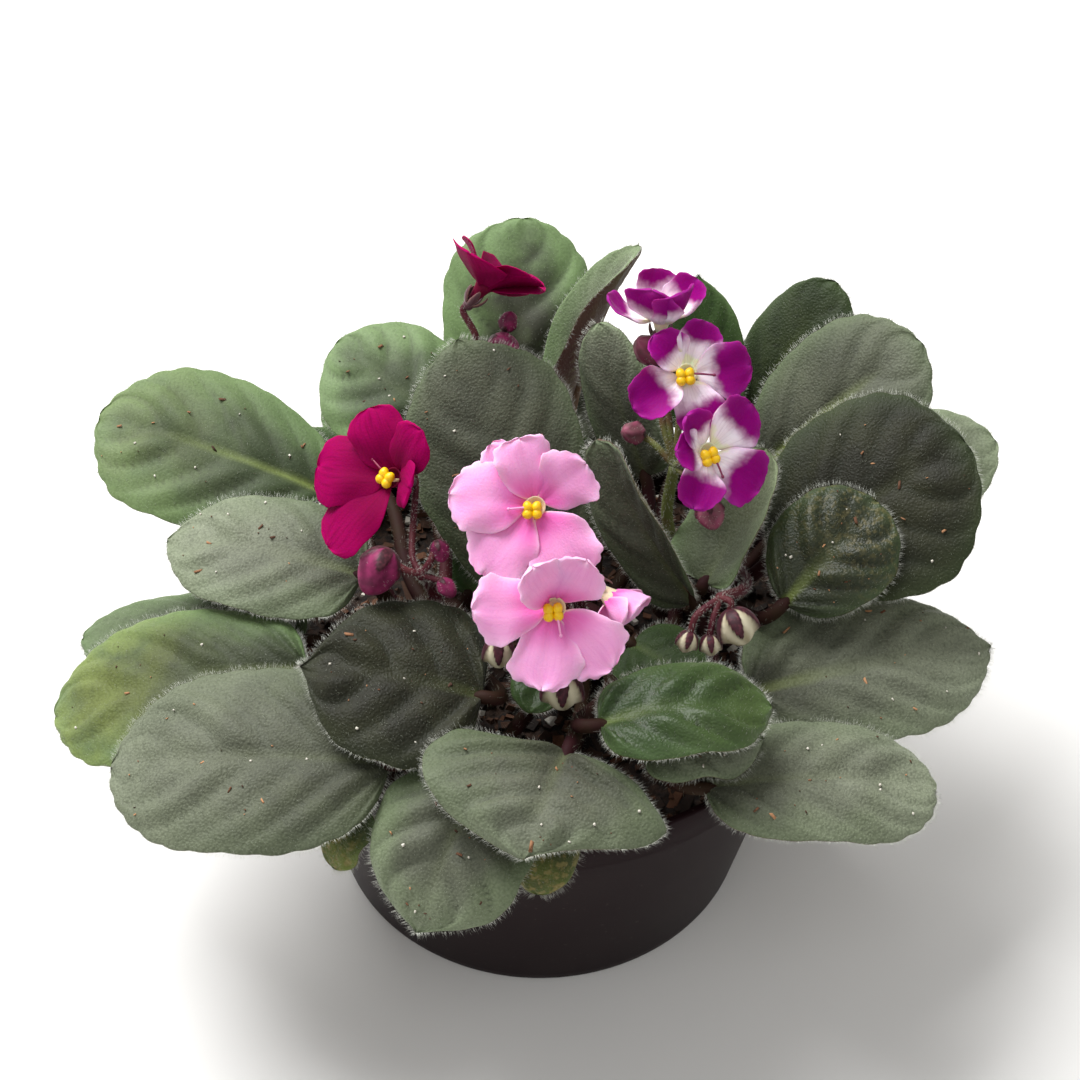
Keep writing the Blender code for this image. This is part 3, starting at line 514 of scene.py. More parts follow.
def swell(blade, u, v):
    """Share of the blade's full width at u: a super-ellipse, its widest point set by skew.

    `point` sharpens the tip and `wobble` swells and pinches each side in turn.
    """
    skew, full = by_side(blade.get("skew", 0.85), v), by_side(blade.get("full", 2.3), v)
    share = np.maximum(0, 1 - np.abs(2 * u ** skew - 1) ** full) ** by_side(blade.get("power", 0.5), v)
    share = share ** (1 + blade.get("point", 0) * u ** 3)
    turn, side = blade.get("phase", 0), np.sign(v)
    wobble = blade.get("wobble", 0) * np.sin(9.4 * u + turn + 2.1 * side)
    return share * (1 + wobble)


def blade_surface(blade, u, v):
    """Points of a blade's middle surface, u from base to tip and v from edge to edge.

    `heart` draws the lobes back past the base, `arch` bows the midrib, `cup` lifts one or
    both edges by the square of v, `wave` ripples the margin and the tip, `crease` folds
    the midline in near the base, `notch` dents the tip, and `scallop` pushes the margin out
    and in, away from the blade's middle, for `teeth` shallow rounded teeth on each side.
    """
    base, tip = np.array(blade["base"], float), np.array(blade["tip"], float)
    along, up, side = blade_axes(blade)
    length, half = np.linalg.norm(tip - base), blade["width"] / 2
    share = swell(blade, u, v)
    across = share * v
    heart = blade.get("heart", 0.12) * np.abs(v) ** 1.5 * (1 - u) ** 3 * np.minimum(1, u * 6)
    notch = blade.get("notch", 0) * np.exp(-(v / 0.3) ** 2) * u ** 8
    round_middle = np.arctan2(across, 2 * u - 1)
    rim = np.minimum(1.1, np.hypot(across, 2 * u - 1)) ** 8 * np.minimum(1, u * 4)
    tooth = np.abs(np.sin(blade.get("teeth", 14) * round_middle / 2 + blade.get("phase", 0)))
    tooth = tooth - 0.6 + 0.5 * np.sin(5.3 * round_middle + 2 * blade.get("phase", 0))
    push = blade.get("scallop", 0) * tooth * rim
    cup = by_side(blade.get("cup", 0), v)
    narrow = half * across * (1 - 0.35 * np.minimum(1, np.abs(cup)) * np.abs(across))
    turn, wave = blade.get("phase", 0), blade.get("wave", 0)
    ripple = np.sin(2 * pi * blade.get("waves", 3) * u + turn + 1.7 * np.sign(v))
    ripple = wave * np.abs(v) ** 3 * share * ripple
    ripple = ripple + 0.6 * wave * u ** 7 * np.sin(7 * v + turn)
    fold = blade.get("crease", 0) * np.exp(-(v / 0.22) ** 2) * (1 - u)
    lift = half * cup * across ** 2 + blade.get("arch", 0.08) * length * 4 * u * (1 - u) + ripple - fold
    return (base + np.multiply.outer(length * (u - heart - notch + push * (u - 0.5)), along)
            + np.multiply.outer(narrow * (1 + push), side) + np.multiply.outer(lift, up))


def veins(blade, u, v):
    """The midrib, the side veins and how far the leaf swells between them, each 0 to 1.

    Side veins leave the midrib at even steps of u and run forward with a power of v; the
    two sides are staggered.  No two cells between veins swell alike, and small puckers
    break them up.
    """
    step = (u - 0.42 * np.abs(v) ** 1.3) * blade.get("ribs", 5)
    step = step + np.where(v > 0, 0.34, 0) + blade.get("phase", 0)
    off = np.abs(step - np.round(step))
    wide = blade["width"] / 2 * swell(blade, u, v)
    midrib = np.exp(-(wide * v / (0.9 - 0.5 * u)) ** 2) * np.clip((0.97 - u) * 3, 0, 1)
    inside = np.clip(wide * np.abs(v) / 4, 0, 1)
    side_vein = np.exp(-(off / 0.06) ** 2) * np.clip((1 - np.abs(v)) * 3, 0, 1) * inside
    cell = 0.75 + 0.4 * np.sin(2.4 * np.floor(step) + 3 * np.sign(v) + blade.get("phase", 0))
    bulge = (1 - (1 - 2 * off) ** 2) * (1 - np.abs(v) ** 3) * cell * inside * np.clip((1 - u) * 5, 0, 1)
    pucker = np.sin(step * 9.7 + 3 * v) * np.sin(v * 15 + step * 2.1) + 0.6 * np.sin(step * 17 - 11 * v)
    return midrib, side_vein, bulge + 0.018 * pucker * (1 - v ** 4) * inside


def blade_point(blade, u, v, thick, above):
    """A point on the upper (above 1) or lower (-1) skin, the margin rounded off."""
    up = blade_axes(blade)[1]
    round_off = np.sqrt(np.maximum(0, 1 - v ** 8)) * np.minimum(1, swell(blade, u, v) * 3)
    midrib, side_vein, bulge = veins(blade, u, v)
    relief = blade.get("quilt", 0) * bulge - blade.get("rib_depth", 0) * (midrib + 0.4 * side_vein)
    relief = np.where(above > 0, relief, 0.6 * relief)
    return blade_surface(blade, u, v) + np.multiply.outer(above * thick / 2 * round_off + relief, up)


def blade_body(blade, thick, steps, **marks):
    """Both skins of a blade as rings from base to tip: under from right to left, then over."""
    u = (1 - np.cos(pi * np.linspace(0.015, 0.985, steps[0]))) / 2
    edge_to_edge = np.sin(pi / 2 * np.linspace(-1, 1, steps[1]))
    v = np.concatenate([edge_to_edge[::-1], edge_to_edge[1:-1]])
    above = np.concatenate([np.full(steps[1], -1), np.full(steps[1] - 2, 1)])
    u, v, above = u[:, None] + 0 * v, v + 0 * u[:, None], above + 0 * u[:, None]
    midrib, side_vein, _ = veins(blade, u, v)
    edge = np.maximum(np.abs(v) ** 5, np.clip((u - 0.84) / 0.16, 0, 1) ** 2)
    return loft(blade_point(blade, u, v, thick, above), midrib=midrib, side_vein=side_vein, edge=edge,
                under=(above < 0) * 1.0, reach=u, across=v, **marks)


def leaf_stalk(blade):
    """Route and radii of a leaf's stalk.

    It leaves its plant's stem squarely, bends in a cubic curve to the blade's base, in line
    with the midrib there, and thins evenly as it runs on under the blade.
    """
    along, up, _ = blade_axes(blade)
    x, y = CROWNS[blade["plant"]]
    base = np.array(blade["base"], float)
    out = np.array([cos(radians(blade["leaves"])), sin(radians(blade["leaves"])), 0])
    foot = np.array([x, y, blade["height"]]) + out * (CROWN_RADIUS + STALK_GAP)
    start = foot + out * STALK_FOOT
    reach = np.linalg.norm(base - start)
    pull_out, pull_in = blade.get("pull", (0.4, 0.35))
    bend = pulled_curve(start, start + (out + (0, 0, 0.1)) * reach * pull_out,
                        base - along * reach * pull_in, base, STALK_STEPS - 1)
    u = np.linspace(0.06, 0.8, 14)
    thin = np.linspace(1.3, 0.3, 14)
    rib = blade_surface(blade, u, 0 * u) - np.multiply.outer(thin + 0.1, up)
    route = np.concatenate([[foot], bend, rib])
    radii = np.concatenate([np.linspace(1.8, 1.5, STALK_STEPS), thin])
    return route, radii


def blade_length(blade):
    """Distance from a blade's base to its tip."""
    return np.linalg.norm(np.subtract(blade["tip"], blade["base"]))


def dress_leaf(name, order, rib_depth):
    """A leaf's blade: the usual looks, veins and teeth to suit its size, and its own looks."""
    size = blade_length(LEAVES[name])
    return {**USUAL_LOOKS, "ribs": 3.2 + size / 25, "teeth": round(size / 2.2), **LEAVES[name],
            "phase": 0.37 * order, "rib_depth": rib_depth}


def stalk_hairs(route, radii, rng, per_mm, length):
    """Roots, directions and lengths of hairs that stand off a stem all round.

    They are spread evenly over the route's length, each square off it at a random angle,
    then tilted a little, and of random length.
    """
    span = np.linalg.norm(np.diff(route, axis=0), axis=1)
    count = int(span.sum() * per_mm)
    along = np.append(0, span.cumsum())
    at = rng.uniform(0, along[-1], count)
    centre = np.stack([np.interp(at, along, route[:, k]) for k in range(3)], -1)
    ahead = unit(np.stack([np.interp(at, along, np.gradient(route, axis=0)[:, k]) for k in range(3)], -1))
    out = unit(np.cross(ahead, rng.normal(size=(count, 3))))
    root = centre + out * np.interp(at, along, radii)[:, None] * 0.9
    return root, out + 0.25 * rng.normal(size=(count, 3)), rng.uniform(0.5, 1, count) * length


def leaf_hairs(blade, rng, per_mm2, length):
    """Hairs on a leaf's upper skin, on its margin, and a few underneath.

    On the skins u and v are even, and kept with a chance equal to the blade's share of its
    full width there, so that they are as thick everywhere.  On the margin they fan out from
    the base to the tip.  The last result is 1 on the margin.
    """
    along, up, side = blade_axes(blade)
    size = blade_length(blade)
    count = int(per_mm2 * size * blade["width"])
    u, v, chance = rng.uniform(0.01, 0.99, count), rng.uniform(-1, 1, count), rng.uniform(size=count)
    kept = chance < swell(blade, u, v)
    u, v = u[kept], v[kept]
    above = np.where(rng.uniform(size=len(u)) < UPPER_HAIRS, 1, -1)
    roots = blade_point(blade, u, v, LEAF_THICK * 0.9, above)
    lean = rng.normal(0, 0.3, (len(u), 3)) + along * 0.5
    grow = np.multiply.outer(above, up) + lean
    tall = rng.uniform(0.15, 0.4, len(u)) * length
    rim = int((2 * size + blade["width"]) * MARGIN_HAIRS)
    u = (1 - np.cos(pi * rng.uniform(0.02, 0.98, rim))) / 2
    v = rng.choice([-1.0, 1.0], rim)
    outward = np.multiply.outer(v, side) + np.multiply.outer(2.2 * (u - 0.45), along)
    outward = outward + up * rng.uniform(-0.5, 0.9, (rim, 1)) + rng.normal(0, 0.3, (rim, 3))
    roots = np.concatenate([roots, blade_surface(blade, u, 0.99 * v)])
    grow = np.concatenate([grow, outward])
    on_rim = np.repeat([0.25, 1.0], [len(tall), rim])
    return roots, grow, np.concatenate([tall, rng.uniform(0.3, 1.0, rim) * length]), on_rim


def bloom_axes(bloom):
    """Right, up and front of a bloom, up being as near the plant's up as it can be."""
    front = unit(bloom["facing"])
    upright = np.array([0, 0, 1]) if abs(front[2]) < 0.95 else np.array([0, 1, 0])
    up = unit(upright - front * (upright @ front))
    return np.cross(up, front), up, front


def petal(bloom, index, frill):
    """The blade of one petal, with its own ripple and tip.

    It runs out from the mouth at the petal's angle, tilted forward by its lean and a little
    round its own midrib, so that the petals overlap like a fan.
    """
    angle, length, width, lean = bloom["petals"][index]
    right, up, front = bloom_axes(bloom)
    out = right * cos(radians(angle)) + up * sin(radians(angle))
    along = out * cos(radians(lean)) + front * sin(radians(lean))
    face = front * cos(radians(lean)) - out * sin(radians(lean))
    face = face + np.cross(along, face) * PETAL_TILT
    base = np.array(bloom["mouth"], float) + out * PETAL_ROOT - front * PETAL_DROP
    turn = 2.4 * index + angle
    return dict(base=base, tip=base + along * (length - PETAL_ROOT), width=width * 1.04, face=face,
                heart=0, arch=0.06 + 0.06 * sin(turn) + bloom.get("arch", 0),
                cup=0.16 * sin(1.7 * turn) + bloom.get("cup", 0), skew=1.5, full=2.3,
                wave=frill * bloom.get("frill", 1), waves=1.7, phase=turn,
                notch=0.03 + 0.03 * sin(3 * turn), crease=0.6, wobble=0.07,
                scallop=bloom.get("teeth", 0.04), teeth=17, quilt=0.25, ribs=1.6)


def egg(centre, axis, length, radius):
    """A small rounded body: a sphere drawn out along its axis, fuller below its middle."""
    z = -np.cos(pi * np.linspace(0.06, 0.94, 12))[:, None]
    turn = full_turn(18)
    wide = radius * np.sqrt(1 - z * z) * (1 - 0.12 * z) + 0 * turn
    return loft(rings_round(centre, axes_round(axis), z * length / 2, wide, turn))


def bud(centre, axis, length, radius, ripe):
    """A bud: rolled petals with five pointed sepals pressed to them and flared at their tips.

    z runs from -1 at the stalk to 1 at the tip.  A sepal is where cos 5t, t the angle
    round the axis, is above a bound that rises with z, faster where the bud is ripe and
    has grown out of its sepals.
    """
    z = -np.cos(pi * np.linspace(0.03, 0.97, 30))[:, None]
    turn = full_turn(70)
    bound = -1.25 + (1.4 + 0.9 * ripe) * (z + 1)
    sepal = np.clip((np.cos(5 * turn) - bound) * 5, 0, 1)
    flare = sepal * np.clip(z + 0.6, 0, 1) ** 1.5
    seam = 0.05 * np.cos(5 * turn + 2.5 * z) * (1 - sepal)
    wide = radius * (np.sqrt(1 - z * z) * (1 - 0.14 * z + seam + 0.07 * sepal) + 0.3 * flare)
    rings = rings_round(centre, axes_round(axis), z * length / 2, wide, turn)
    return loft(rings, sepal=sepal, seam=0.5 - 10 * seam, ripe=ripe)


def sepals(seat, axis, length, width, spread, reach):
    """Five narrow pointed blades round an axis, from near it to `spread + reach` out."""
    axis, right, above = axes_round(axis)
    parts = []
    for turn in np.arange(5) * 2 * pi / 5:
        out = right * cos(turn) + above * sin(turn)
        base = seat + out * spread * 0.4
        tip = seat + out * (spread + reach) + axis * length
        blade = dict(base=base, tip=tip, width=width, face=out - axis * 0.2, heart=0, arch=0.16,
                     skew=0.75, full=1.6, cup=-0.35)
        parts.append(blade_body(blade, 0.35, (12, 7)))
    return parts


# Materials

# Each node by what it does here: its type, its options, the inputs that are filled in
# order, and the output that is used
NODES = {
    "place": ("TexCoord", {}, (), "Object"),
    "mark": ("Attribute", {}, ("Name",), "Fac"),
    "ease": ("MapRange", {"interpolation_type": "SMOOTHSTEP"}, ("Value", "From Min", "From Max"), 0),
    "blend": ("Mix", {"data_type": "RGBA"}, (0, 6, 7), 2),
    "noise": ("TexNoise", {}, ("Vector", "Scale", "Detail"), "Fac"),
    "cells": ("TexVoronoi", {"feature": "SMOOTH_F1"}, ("Vector", "Scale"), "Distance"),
    "strand": ("CombineXYZ", {}, ("X", "Y"), 0),
    "feather": ("Math", {"operation": "MULTIPLY_ADD"}, (0, 1, 2), 0),
    "bump": ("Bump", {}, ("Strength", "Distance", "Height"), "Normal"),
}


def add_node(tree, kind, *values):
    """Add a node, fill or link its inputs in order, and give its output.

    The kind is one in NODES, or the name of a sum on two numbers that is kept between 0
    and 1.  A hex code fills its input as a colour.
    """
    two_numbers = ("Math", {"operation": kind, "use_clamp": True}, (0, 1), 0)
    typed, options, inputs, output = NODES.get(kind, two_numbers)
    made = tree.nodes.new("ShaderNode" + typed)
    for name, value in options.items():
        setattr(made, name, value)
    for key, value in zip(inputs, values):
        if isinstance(value, bpy.types.NodeSocket):
            tree.links.new(value, made.inputs[key])
        elif kind == "mark":
            made.attribute_name = value
        else:
            made.inputs[key].default_value = linear(value) if isinstance(value, str) else value
    return made.outputs[output]


def grain(node, size_mm, detail=2.0):
    """Noise whose cells are size_mm across, in the piece's own coordinates."""
    return node("noise", node("place"), 1 / (size_mm * MM), detail)


def layered(node, made, *layers):
    """Colours laid over the first one, each with the product of its factors as its share.

    A factor is a number, an output or the name of a mark that the piece carries, or one of
    these with the two values between which it is eased from 0 to 1.
    """
    for tone, *factors in layers:
        share = None
        for factor in factors:
            what, *ends = factor if isinstance(factor, tuple) else (factor,)
            what = node("mark", what) if isinstance(what, str) else what
            what = node("ease", what, *ends) if ends else what
            share = what if share is None else node("MULTIPLY", share, what)
        made = node("blend", share, made, tone)
    return made


def finish_material(name, colour, roughness, bump=None, depth_mm=0, strength=0, **fixed):
    """A Principled material; `colour` and `bump` are given the node maker and give outputs."""
    made = bpy.data.materials.new(name)
    made.use_nodes = True
    tree = made.node_tree
    node = partial(add_node, tree)
    shader = tree.nodes["Principled BSDF"].inputs
    shader["Roughness"].default_value = roughness
    for socket, value in fixed.items():
        shader[socket.replace("_", " ")].default_value = value
    tree.links.new(colour(node), shader["Base Color"])
    if bump:
        tree.links.new(node("bump", strength, depth_mm * MM, bump(node)), shader["Normal"])
    return made


def leaf_blade_material(name, roughness, shine, settings):
    """Living leaf: thick, quilted and felted with hairs.  The soft grey sheen they give is painted into its
    colour, and so is shade in its side veins and between its pebbles.
    """
    dark, shade, pale = ((*value, 1) for value in (settings.leaf_dark, settings.leaf_shade,
                                                   settings.leaf_pale))

    def pebbles(node):
        return node("cells", node("place"), 1 / (PEBBLE * MM))

    def colour(node):
        reach, across, valley = node("mark", "reach"), node("mark", "across"), pebbles(node)
        out = node("ADD", node("MULTIPLY", across, across),
                   node("MULTIPLY", node("ease", reach, 0.5, 1.0), 0.5))
        patch = node("ADD", node("MULTIPLY", out, 0.55), node("MULTIPLY", grain(node, 9, 4), 0.6))
        # The painted sheen below grows towards the tip (greyed), is patchy (lit) and is lightest on the
        # pebble tops (raised)
        greyed = node("ADD", node("MULTIPLY", reach, 0.8), 0.25)
        lit = node("ADD", node("MULTIPLY", grain(node, 0.5, 3), 0.5), node("MULTIPLY", grain(node, 12), 0.5))
        raised = node("SUBTRACT", 1.35, node("MULTIPLY", valley, 0.7))
        upper = layered(node, shade,
                        (dark, (grain(node, 9, 3), 0.35, 0.7)),
                        ("#34541f", "fresh"),
                        (pale, "pale", (patch, 0.3, 0.75)),
                        # Painted shade in the pressed-in side veins
                        ("#1a1f13", "side_vein", 0.5),
                        (pale, "edge", "edge_tint"),
                        ("#8f9c3c", "yellow", (reach, 0.2, 0.95), (grain(node, 10, 3), 0.2, 0.6)),
                        ("#93a44e", "midrib", node("SUBTRACT", 0.8, reach), "rib_tint"),
                        ("#7d7142", "speckle", (grain(node, 1.3, 4), 0.46, 0.66), (reach, 0.1, 1.0)),
                        # Painted sheen: the grey glare of lit hairs, set per leaf
                        ("#a8af97", "felt", greyed, lit, raised),
                        # Painted shade in the hollows between the pebbles
                        ("#14170e", (valley, 0.3, 0.65), 0.14))
        under = layered(node, "#5c3c3a", ("#66663f", (grain(node, 22), 0.25, 0.75)),
                        ("#8d8560", "side_vein", 0.5))
        return layered(node, upper, (under, "under"))

    def bump(node):
        young = node("MULTIPLY", node("ADD", node("mark", "pale"), node("mark", "fresh")), 0.75)
        return node("MULTIPLY", pebbles(node), node("SUBTRACT", 1.0, young))
    return finish_material(name, colour, roughness, bump, -0.2, 1.0, Sheen_Weight=0.08,
                           Sheen_Roughness=0.5, Sheen_Tint=linear("#e9ebe8"), Specular_IOR_Level=shine)


def hair_material(name):
    """Plant hair: glassy, pale and thin, so it reads as a white fringe."""
    return finish_material(name, lambda node: layered(node, "#9aa18c", ("#dfe1d6", "edge")), 0.45)


def leaf_stalk_material(name):
    """Leaf stalk: fleshy and hairy, wine red where light reaches it and green below.  Its colours are
    darkened further as painted shade under the leaves.
    """
    def colour(node):
        return layered(node, "#2c0f13", ("#2a1c0e", (grain(node, 11, 3), 0.35, 0.65)), ("#7d6450", "rib"))
    return finish_material(name, colour, 0.7, lambda node: grain(node, 0.7), 0.1, 0.4,
                           Specular_IOR_Level=0.15)


def petal_material(name, throat, inner, outer, rim, breaks, wobble, streak, roughness):
    """Living petal: thin and velvety, its colour changing from its root out.

    `breaks` are places from root to tip: where the throat's colour ends, where the inner
    one is full, and where the outer one starts and is full.
    """
    def colour(node):
        strand = node("strand", node("MULTIPLY", node("mark", "reach"), 0.15), node("mark", "across"))
        place = node("feather", grain(node, 3.5, 3), wobble, node("mark", "place"))
        start, full, turn, done = (b + wobble / 2 for b in breaks)
        return layered(node, throat, (inner, (place, start, full)), (outer, (place, turn, done)),
                       (streak[0], (node("noise", strand, PETAL_VEINS, 3.0), 0.45, 0.75), streak[1]),
                       (rim[0], "edge", rim[1]))
    return finish_material(name, colour, roughness, lambda node: grain(node, VELVET), 0.16, 0.6,
                           Specular_IOR_Level=0.04, Subsurface_Weight=0.12, Subsurface_Scale=2 * MM)


def flower_stalk_material(name):
    """Flower stalk: slim and hairy, maroon, or olive where the plant is a greener one."""
    def colour(node):
        blotch = (grain(node, 8), 0.4, 0.7)
        green = layered(node, "#6c7440", ("#6e4f3c", blotch))
        return layered(node, "#481521", ("#5c2a2e", blotch), (green, "green"))
    return finish_material(name, colour, 0.6, lambda node: grain(node, 0.5), 0.06, 0.4,
                           Specular_IOR_Level=0.25)


def sepal_material(name):
    """Sepal: small leafy point, maroon with a greener, paler margin."""
    return finish_material(name, lambda node: layered(node, "#451a26", ("#7a5048", "edge")), 0.55,
                           lambda node: grain(node, 0.5), 0.06, 0.4,
                           Sheen_Weight=0.3, Sheen_Tint=linear("#f5e6e6"))


def bud_material(name):
    """Closed bud: rolled petals, cream while young and plum when ripe, in maroon sepals."""
    def colour(node):
        ripe = layered(node, "#5a1136", ("#8a2456", (grain(node, 2.5, 3), 0.3, 0.7)))
        leafy = layered(node, "#34121c", ("#54222e", (grain(node, 0.9, 3), 0.4, 0.7)))
        return layered(node, "#a3997a", ("#ddd5b8", "seam"), (ripe, "ripe"), (leafy, "sepal"))
    return finish_material(name, colour, 0.5, lambda node: grain(node, 0.5), 0.06, 0.4,
                           Sheen_Weight=0.06, Sheen_Tint=linear("#fff0f5"), Specular_IOR_Level=0.25)


def pollen_material(name):
    """Pollen sac: waxy and full yellow, powdery where it splits."""
    return finish_material(name, lambda node: layered(node, "#ffd900", ("#e3a600", grain(node, 0.6))), 0.4,
                           lambda node: grain(node, 0.3), 0.08, 0.5)


def thread_material(name, first, second):
    """Style or filament: a smooth moist thread, faintly mottled."""
    return finish_material(name, lambda node: layered(node, first, (second, grain(node, 0.9))), 0.4,
                           lambda node: grain(node, 0.4), 0.03, 0.3)


def pot_material(name, settings):
    """Moulded polypropylene: near black, satin, with fine dust that catches the light."""
    def colour(node):
        dust = node("MULTIPLY", node("ease", grain(node, 1.4, 5), 0.66, 0.74), 0.25)
        smear = node("MULTIPLY", node("ease", grain(node, 30, 4), 0.45, 0.75), 0.04)
        return layered(node, (*settings.pot_colour, 1), ("#5c5450", node("ADD", dust, smear)))
    return finish_material(name, colour, 0.4, lambda node: grain(node, 0.6, 3), 0.03, 0.3,
                           Specular_IOR_Level=0.05)


def soil_material(name):
    """Composted bark and peat: damp, crumbly and dull, near black with lighter patches; the near black is
    partly the damp peat's own colour and partly painted shade under the leaves.
    """
    def colour(node):
        return layered(node, "#150e0a", ("#38261a", (grain(node, 2.2, 5), 0.35, 0.7)))
    return finish_material(name, colour, 0.92, lambda node: grain(node, 1.2, 5), 1.0, 0.9)


def chip_material(name):
    """Bark chip: fibrous and matt, each piece lighter or darker than the next."""
    def colour(node):
        return layered(node, "#1a110b", ("#64402a", "tone"),
                       ("#c8946a", node("SUBTRACT", node("mark", "tone"), 1.0)))
    return finish_material(name, colour, 0.9, lambda node: grain(node, 0.8, 4), 0.3, 0.8)


def perlite_material(name):
    """Perlite: popped volcanic glass, chalky white."""
    return finish_material(name, lambda node: layered(node, "#ece8de", ("#bdb6a6", grain(node, 0.7))), 0.85,
                           lambda node: grain(node, 0.5), 0.2, 0.6)


def floor_material(name):
    """Matt painted board: off-white with a barely seen roller texture."""
    return finish_material(name, lambda node: layered(node, "#f6f5f3", ("#f1f0ee", grain(node, 60, 3))), 0.9,
                           lambda node: grain(node, 1.5), 0.05, 0.2)


# Pieces

def add_object(name, data):
    """An object for the mesh, light or camera, linked into the scene."""
    made = bpy.data.objects.new(name, data)
    bpy.context.scene.collection.objects.link(made)
    return made


def make_piece(name, parts, materials, nodes):
    """One mesh object of many parts, where a part's `slot` picks its material.

    It rides the root and replaces the nodes named.
    """
    offset, points, faces, slots = 0, [], [], []
    keys = sorted({key for part in parts for key in part["marks"]})
    columns = {key: [] for key in keys}
    for part in parts:
        count = len(part["points"])
        points.append(part["points"])
        for block in part["faces"]:
            faces.extend((block + offset).tolist())
            slots.append(np.full(len(block), part.get("slot", 0)))
        for key in keys:
            columns[key].append(np.broadcast_to(part["marks"].get(key, 0.0), count))
        offset += count
    mesh = bpy.data.meshes.new(name)
    mesh.from_pydata((np.concatenate(points) * MM).tolist(), [], faces)
    mesh.polygons.foreach_set("material_index", np.concatenate(slots).astype(np.int32))
    for key in keys:
        layer = mesh.attributes.new(key, "FLOAT", "POINT")
        layer.data.foreach_set("value", np.concatenate(columns[key]).astype(np.float32))
    for finish in materials:
        mesh.materials.append(finish)
    mesh.shade_smooth()
    piece = add_object(name, mesh)
    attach(piece, "root")
    if nodes:
        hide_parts(*nodes)
    return piece


def slotted(part, slot):
    """The part with its material number."""
    return {**part, "slot": slot}


def material(name, make, *settings, **finish):
    """The material of that name, made the first time it is asked for."""
    return bpy.data.materials.get(name) or make(name, *settings, **finish)


def rgb(code):
    """An sRGB hex code as linear red, green and blue."""
    return linear(code)[:3]


class VioletLeafSettings(bpy.types.PropertyGroup):
    """Sizes and colours of the leaves."""

    leaf_dark: bpy.props.FloatVectorProperty(
        name="Dark green", description="Main colour of an old leaf", subtype="COLOR", default=rgb("#2a2b1a"))
    leaf_shade: bpy.props.FloatVectorProperty(
        name="Shade", description="Darker blotches of an old leaf", subtype="COLOR", default=rgb("#1c1c10"))
    leaf_pale: bpy.props.FloatVectorProperty(
        name="Pale green", description="Margins and young leaves", subtype="COLOR", default=rgb("#66814e"))
    rib_depth: bpy.props.FloatProperty(
        name="Vein depth", description="How deep the veins are pressed in", unit="LENGTH", default=0.45 * MM)
    hair_length: bpy.props.FloatProperty(
        name="Hair length", description="Length of a full hair", unit="LENGTH", default=2.0 * MM)
    hair_width: bpy.props.FloatProperty(
        name="Hair width", description="Width of a hair at its root", unit="LENGTH", default=0.048 * MM)
    hair_density: bpy.props.FloatProperty(
        name="Hairs per mm2", description="Hairs on each square millimetre of leaf", default=1.3, min=0)


class VioletBloomSettings(bpy.types.PropertyGroup):
    """Sizes of the blooms."""

    petal_frill: bpy.props.FloatProperty(
        name="Frill", description="Height of the ripple along a petal's margin", unit="LENGTH",
        default=0.8 * MM)
    style_length: bpy.props.FloatProperty(
        name="Style length", description="Length of the thread beside the pollen sacs", unit="LENGTH",
        default=5.5 * MM)


class VioletPotSettings(bpy.types.PropertyGroup):
    """Colours and amounts for the pot and what fills it."""

    pot_colour: bpy.props.FloatVectorProperty(
        name="Pot", description="Colour of the plastic", subtype="COLOR", default=rgb("#1a0c0f"))
    chips: bpy.props.IntProperty(
        name="Bark chips", description="Number of chips on the potting mix", default=520, min=1)


class MESH_OT_violet_pot(bpy.types.Operator):
    """Add the nursery pot: rolled rim, skirt, tapered wall and a floor with drain holes"""

    bl_idname = "mesh.violet_pot"
    bl_label = "Pot"

    def execute(self, context):
        settings = context.scene.violet_pot
        skirt, shoulder = POT_HEIGHT - RIM_SKIRT, RIM_RADIUS - RIM_STEP
        lip = [(RIM_RADIUS - LIP + LIP * sin(a), POT_HEIGHT - LIP + LIP * cos(a))
               for a in np.linspace(pi / 2, 0, 5)]
        outer = [(0.5, 0), (BASE_RADIUS - 6, 0), (BASE_RADIUS - 1.2, 0), (BASE_RADIUS - 0.4, 0.3),
                 (BASE_RADIUS, 1), (BASE_RADIUS + 0.4, 3), (shoulder - 1, skirt - 0.8),
                 (shoulder - 0.7, skirt - 0.2), (RIM_RADIUS - 1, skirt), (RIM_RADIUS - 0.7, skirt + 0.4),
                 (RIM_RADIUS - 0.05, POT_HEIGHT - 1.6)]
        inner = [(RIM_RADIUS - WALL - 0.2, POT_HEIGHT - 0.1), (RIM_RADIUS - WALL - 0.5, POT_HEIGHT - 0.8),
                 (RIM_RADIUS - WALL - 0.7, skirt + 1.2), (shoulder - 0.8 - WALL, skirt - 1),
                 (BASE_RADIUS - WALL, FLOOR + 0.6), (BASE_RADIUS - WALL - 0.6, FLOOR), (0.5, FLOOR)]
        wall = lathe(outer + lip + inner, 144)
        plastic = material("moulded_polypropylene", pot_material, settings)
        pot = make_piece("nursery_pot", [wall], [plastic], ["pot"])
        plug_outline = [(0.01, -2), (DRAIN_RADIUS, -2), (DRAIN_RADIUS, FLOOR + 2), (0.01, FLOOR + 2)]
        for angle in 2 * pi * (np.arange(DRAIN_HOLES) + 0.5) / DRAIN_HOLES:
            plug = lathe(plug_outline, 24, (DRAIN_RING * cos(angle), DRAIN_RING * sin(angle)))
            faces = [face for block in plug["faces"] for face in block.tolist()]
            mesh = bpy.data.meshes.new("drain_hole")
            mesh.from_pydata((plug["points"] * MM).tolist(), [], faces)
            cutter = add_object("drain_hole", mesh)
            hole = pot.modifiers.new("drain", "BOOLEAN")
            hole.object, hole.solver = cutter, "EXACT"
            context.view_layer.update()
            pot.data = bpy.data.meshes.new_from_object(pot.evaluated_get(context.evaluated_depsgraph_get()))
            pot.modifiers.clear()
            bpy.data.objects.remove(cutter)
        pot.data.set_sharp_from_angle(angle=radians(40))
        return {"FINISHED"}


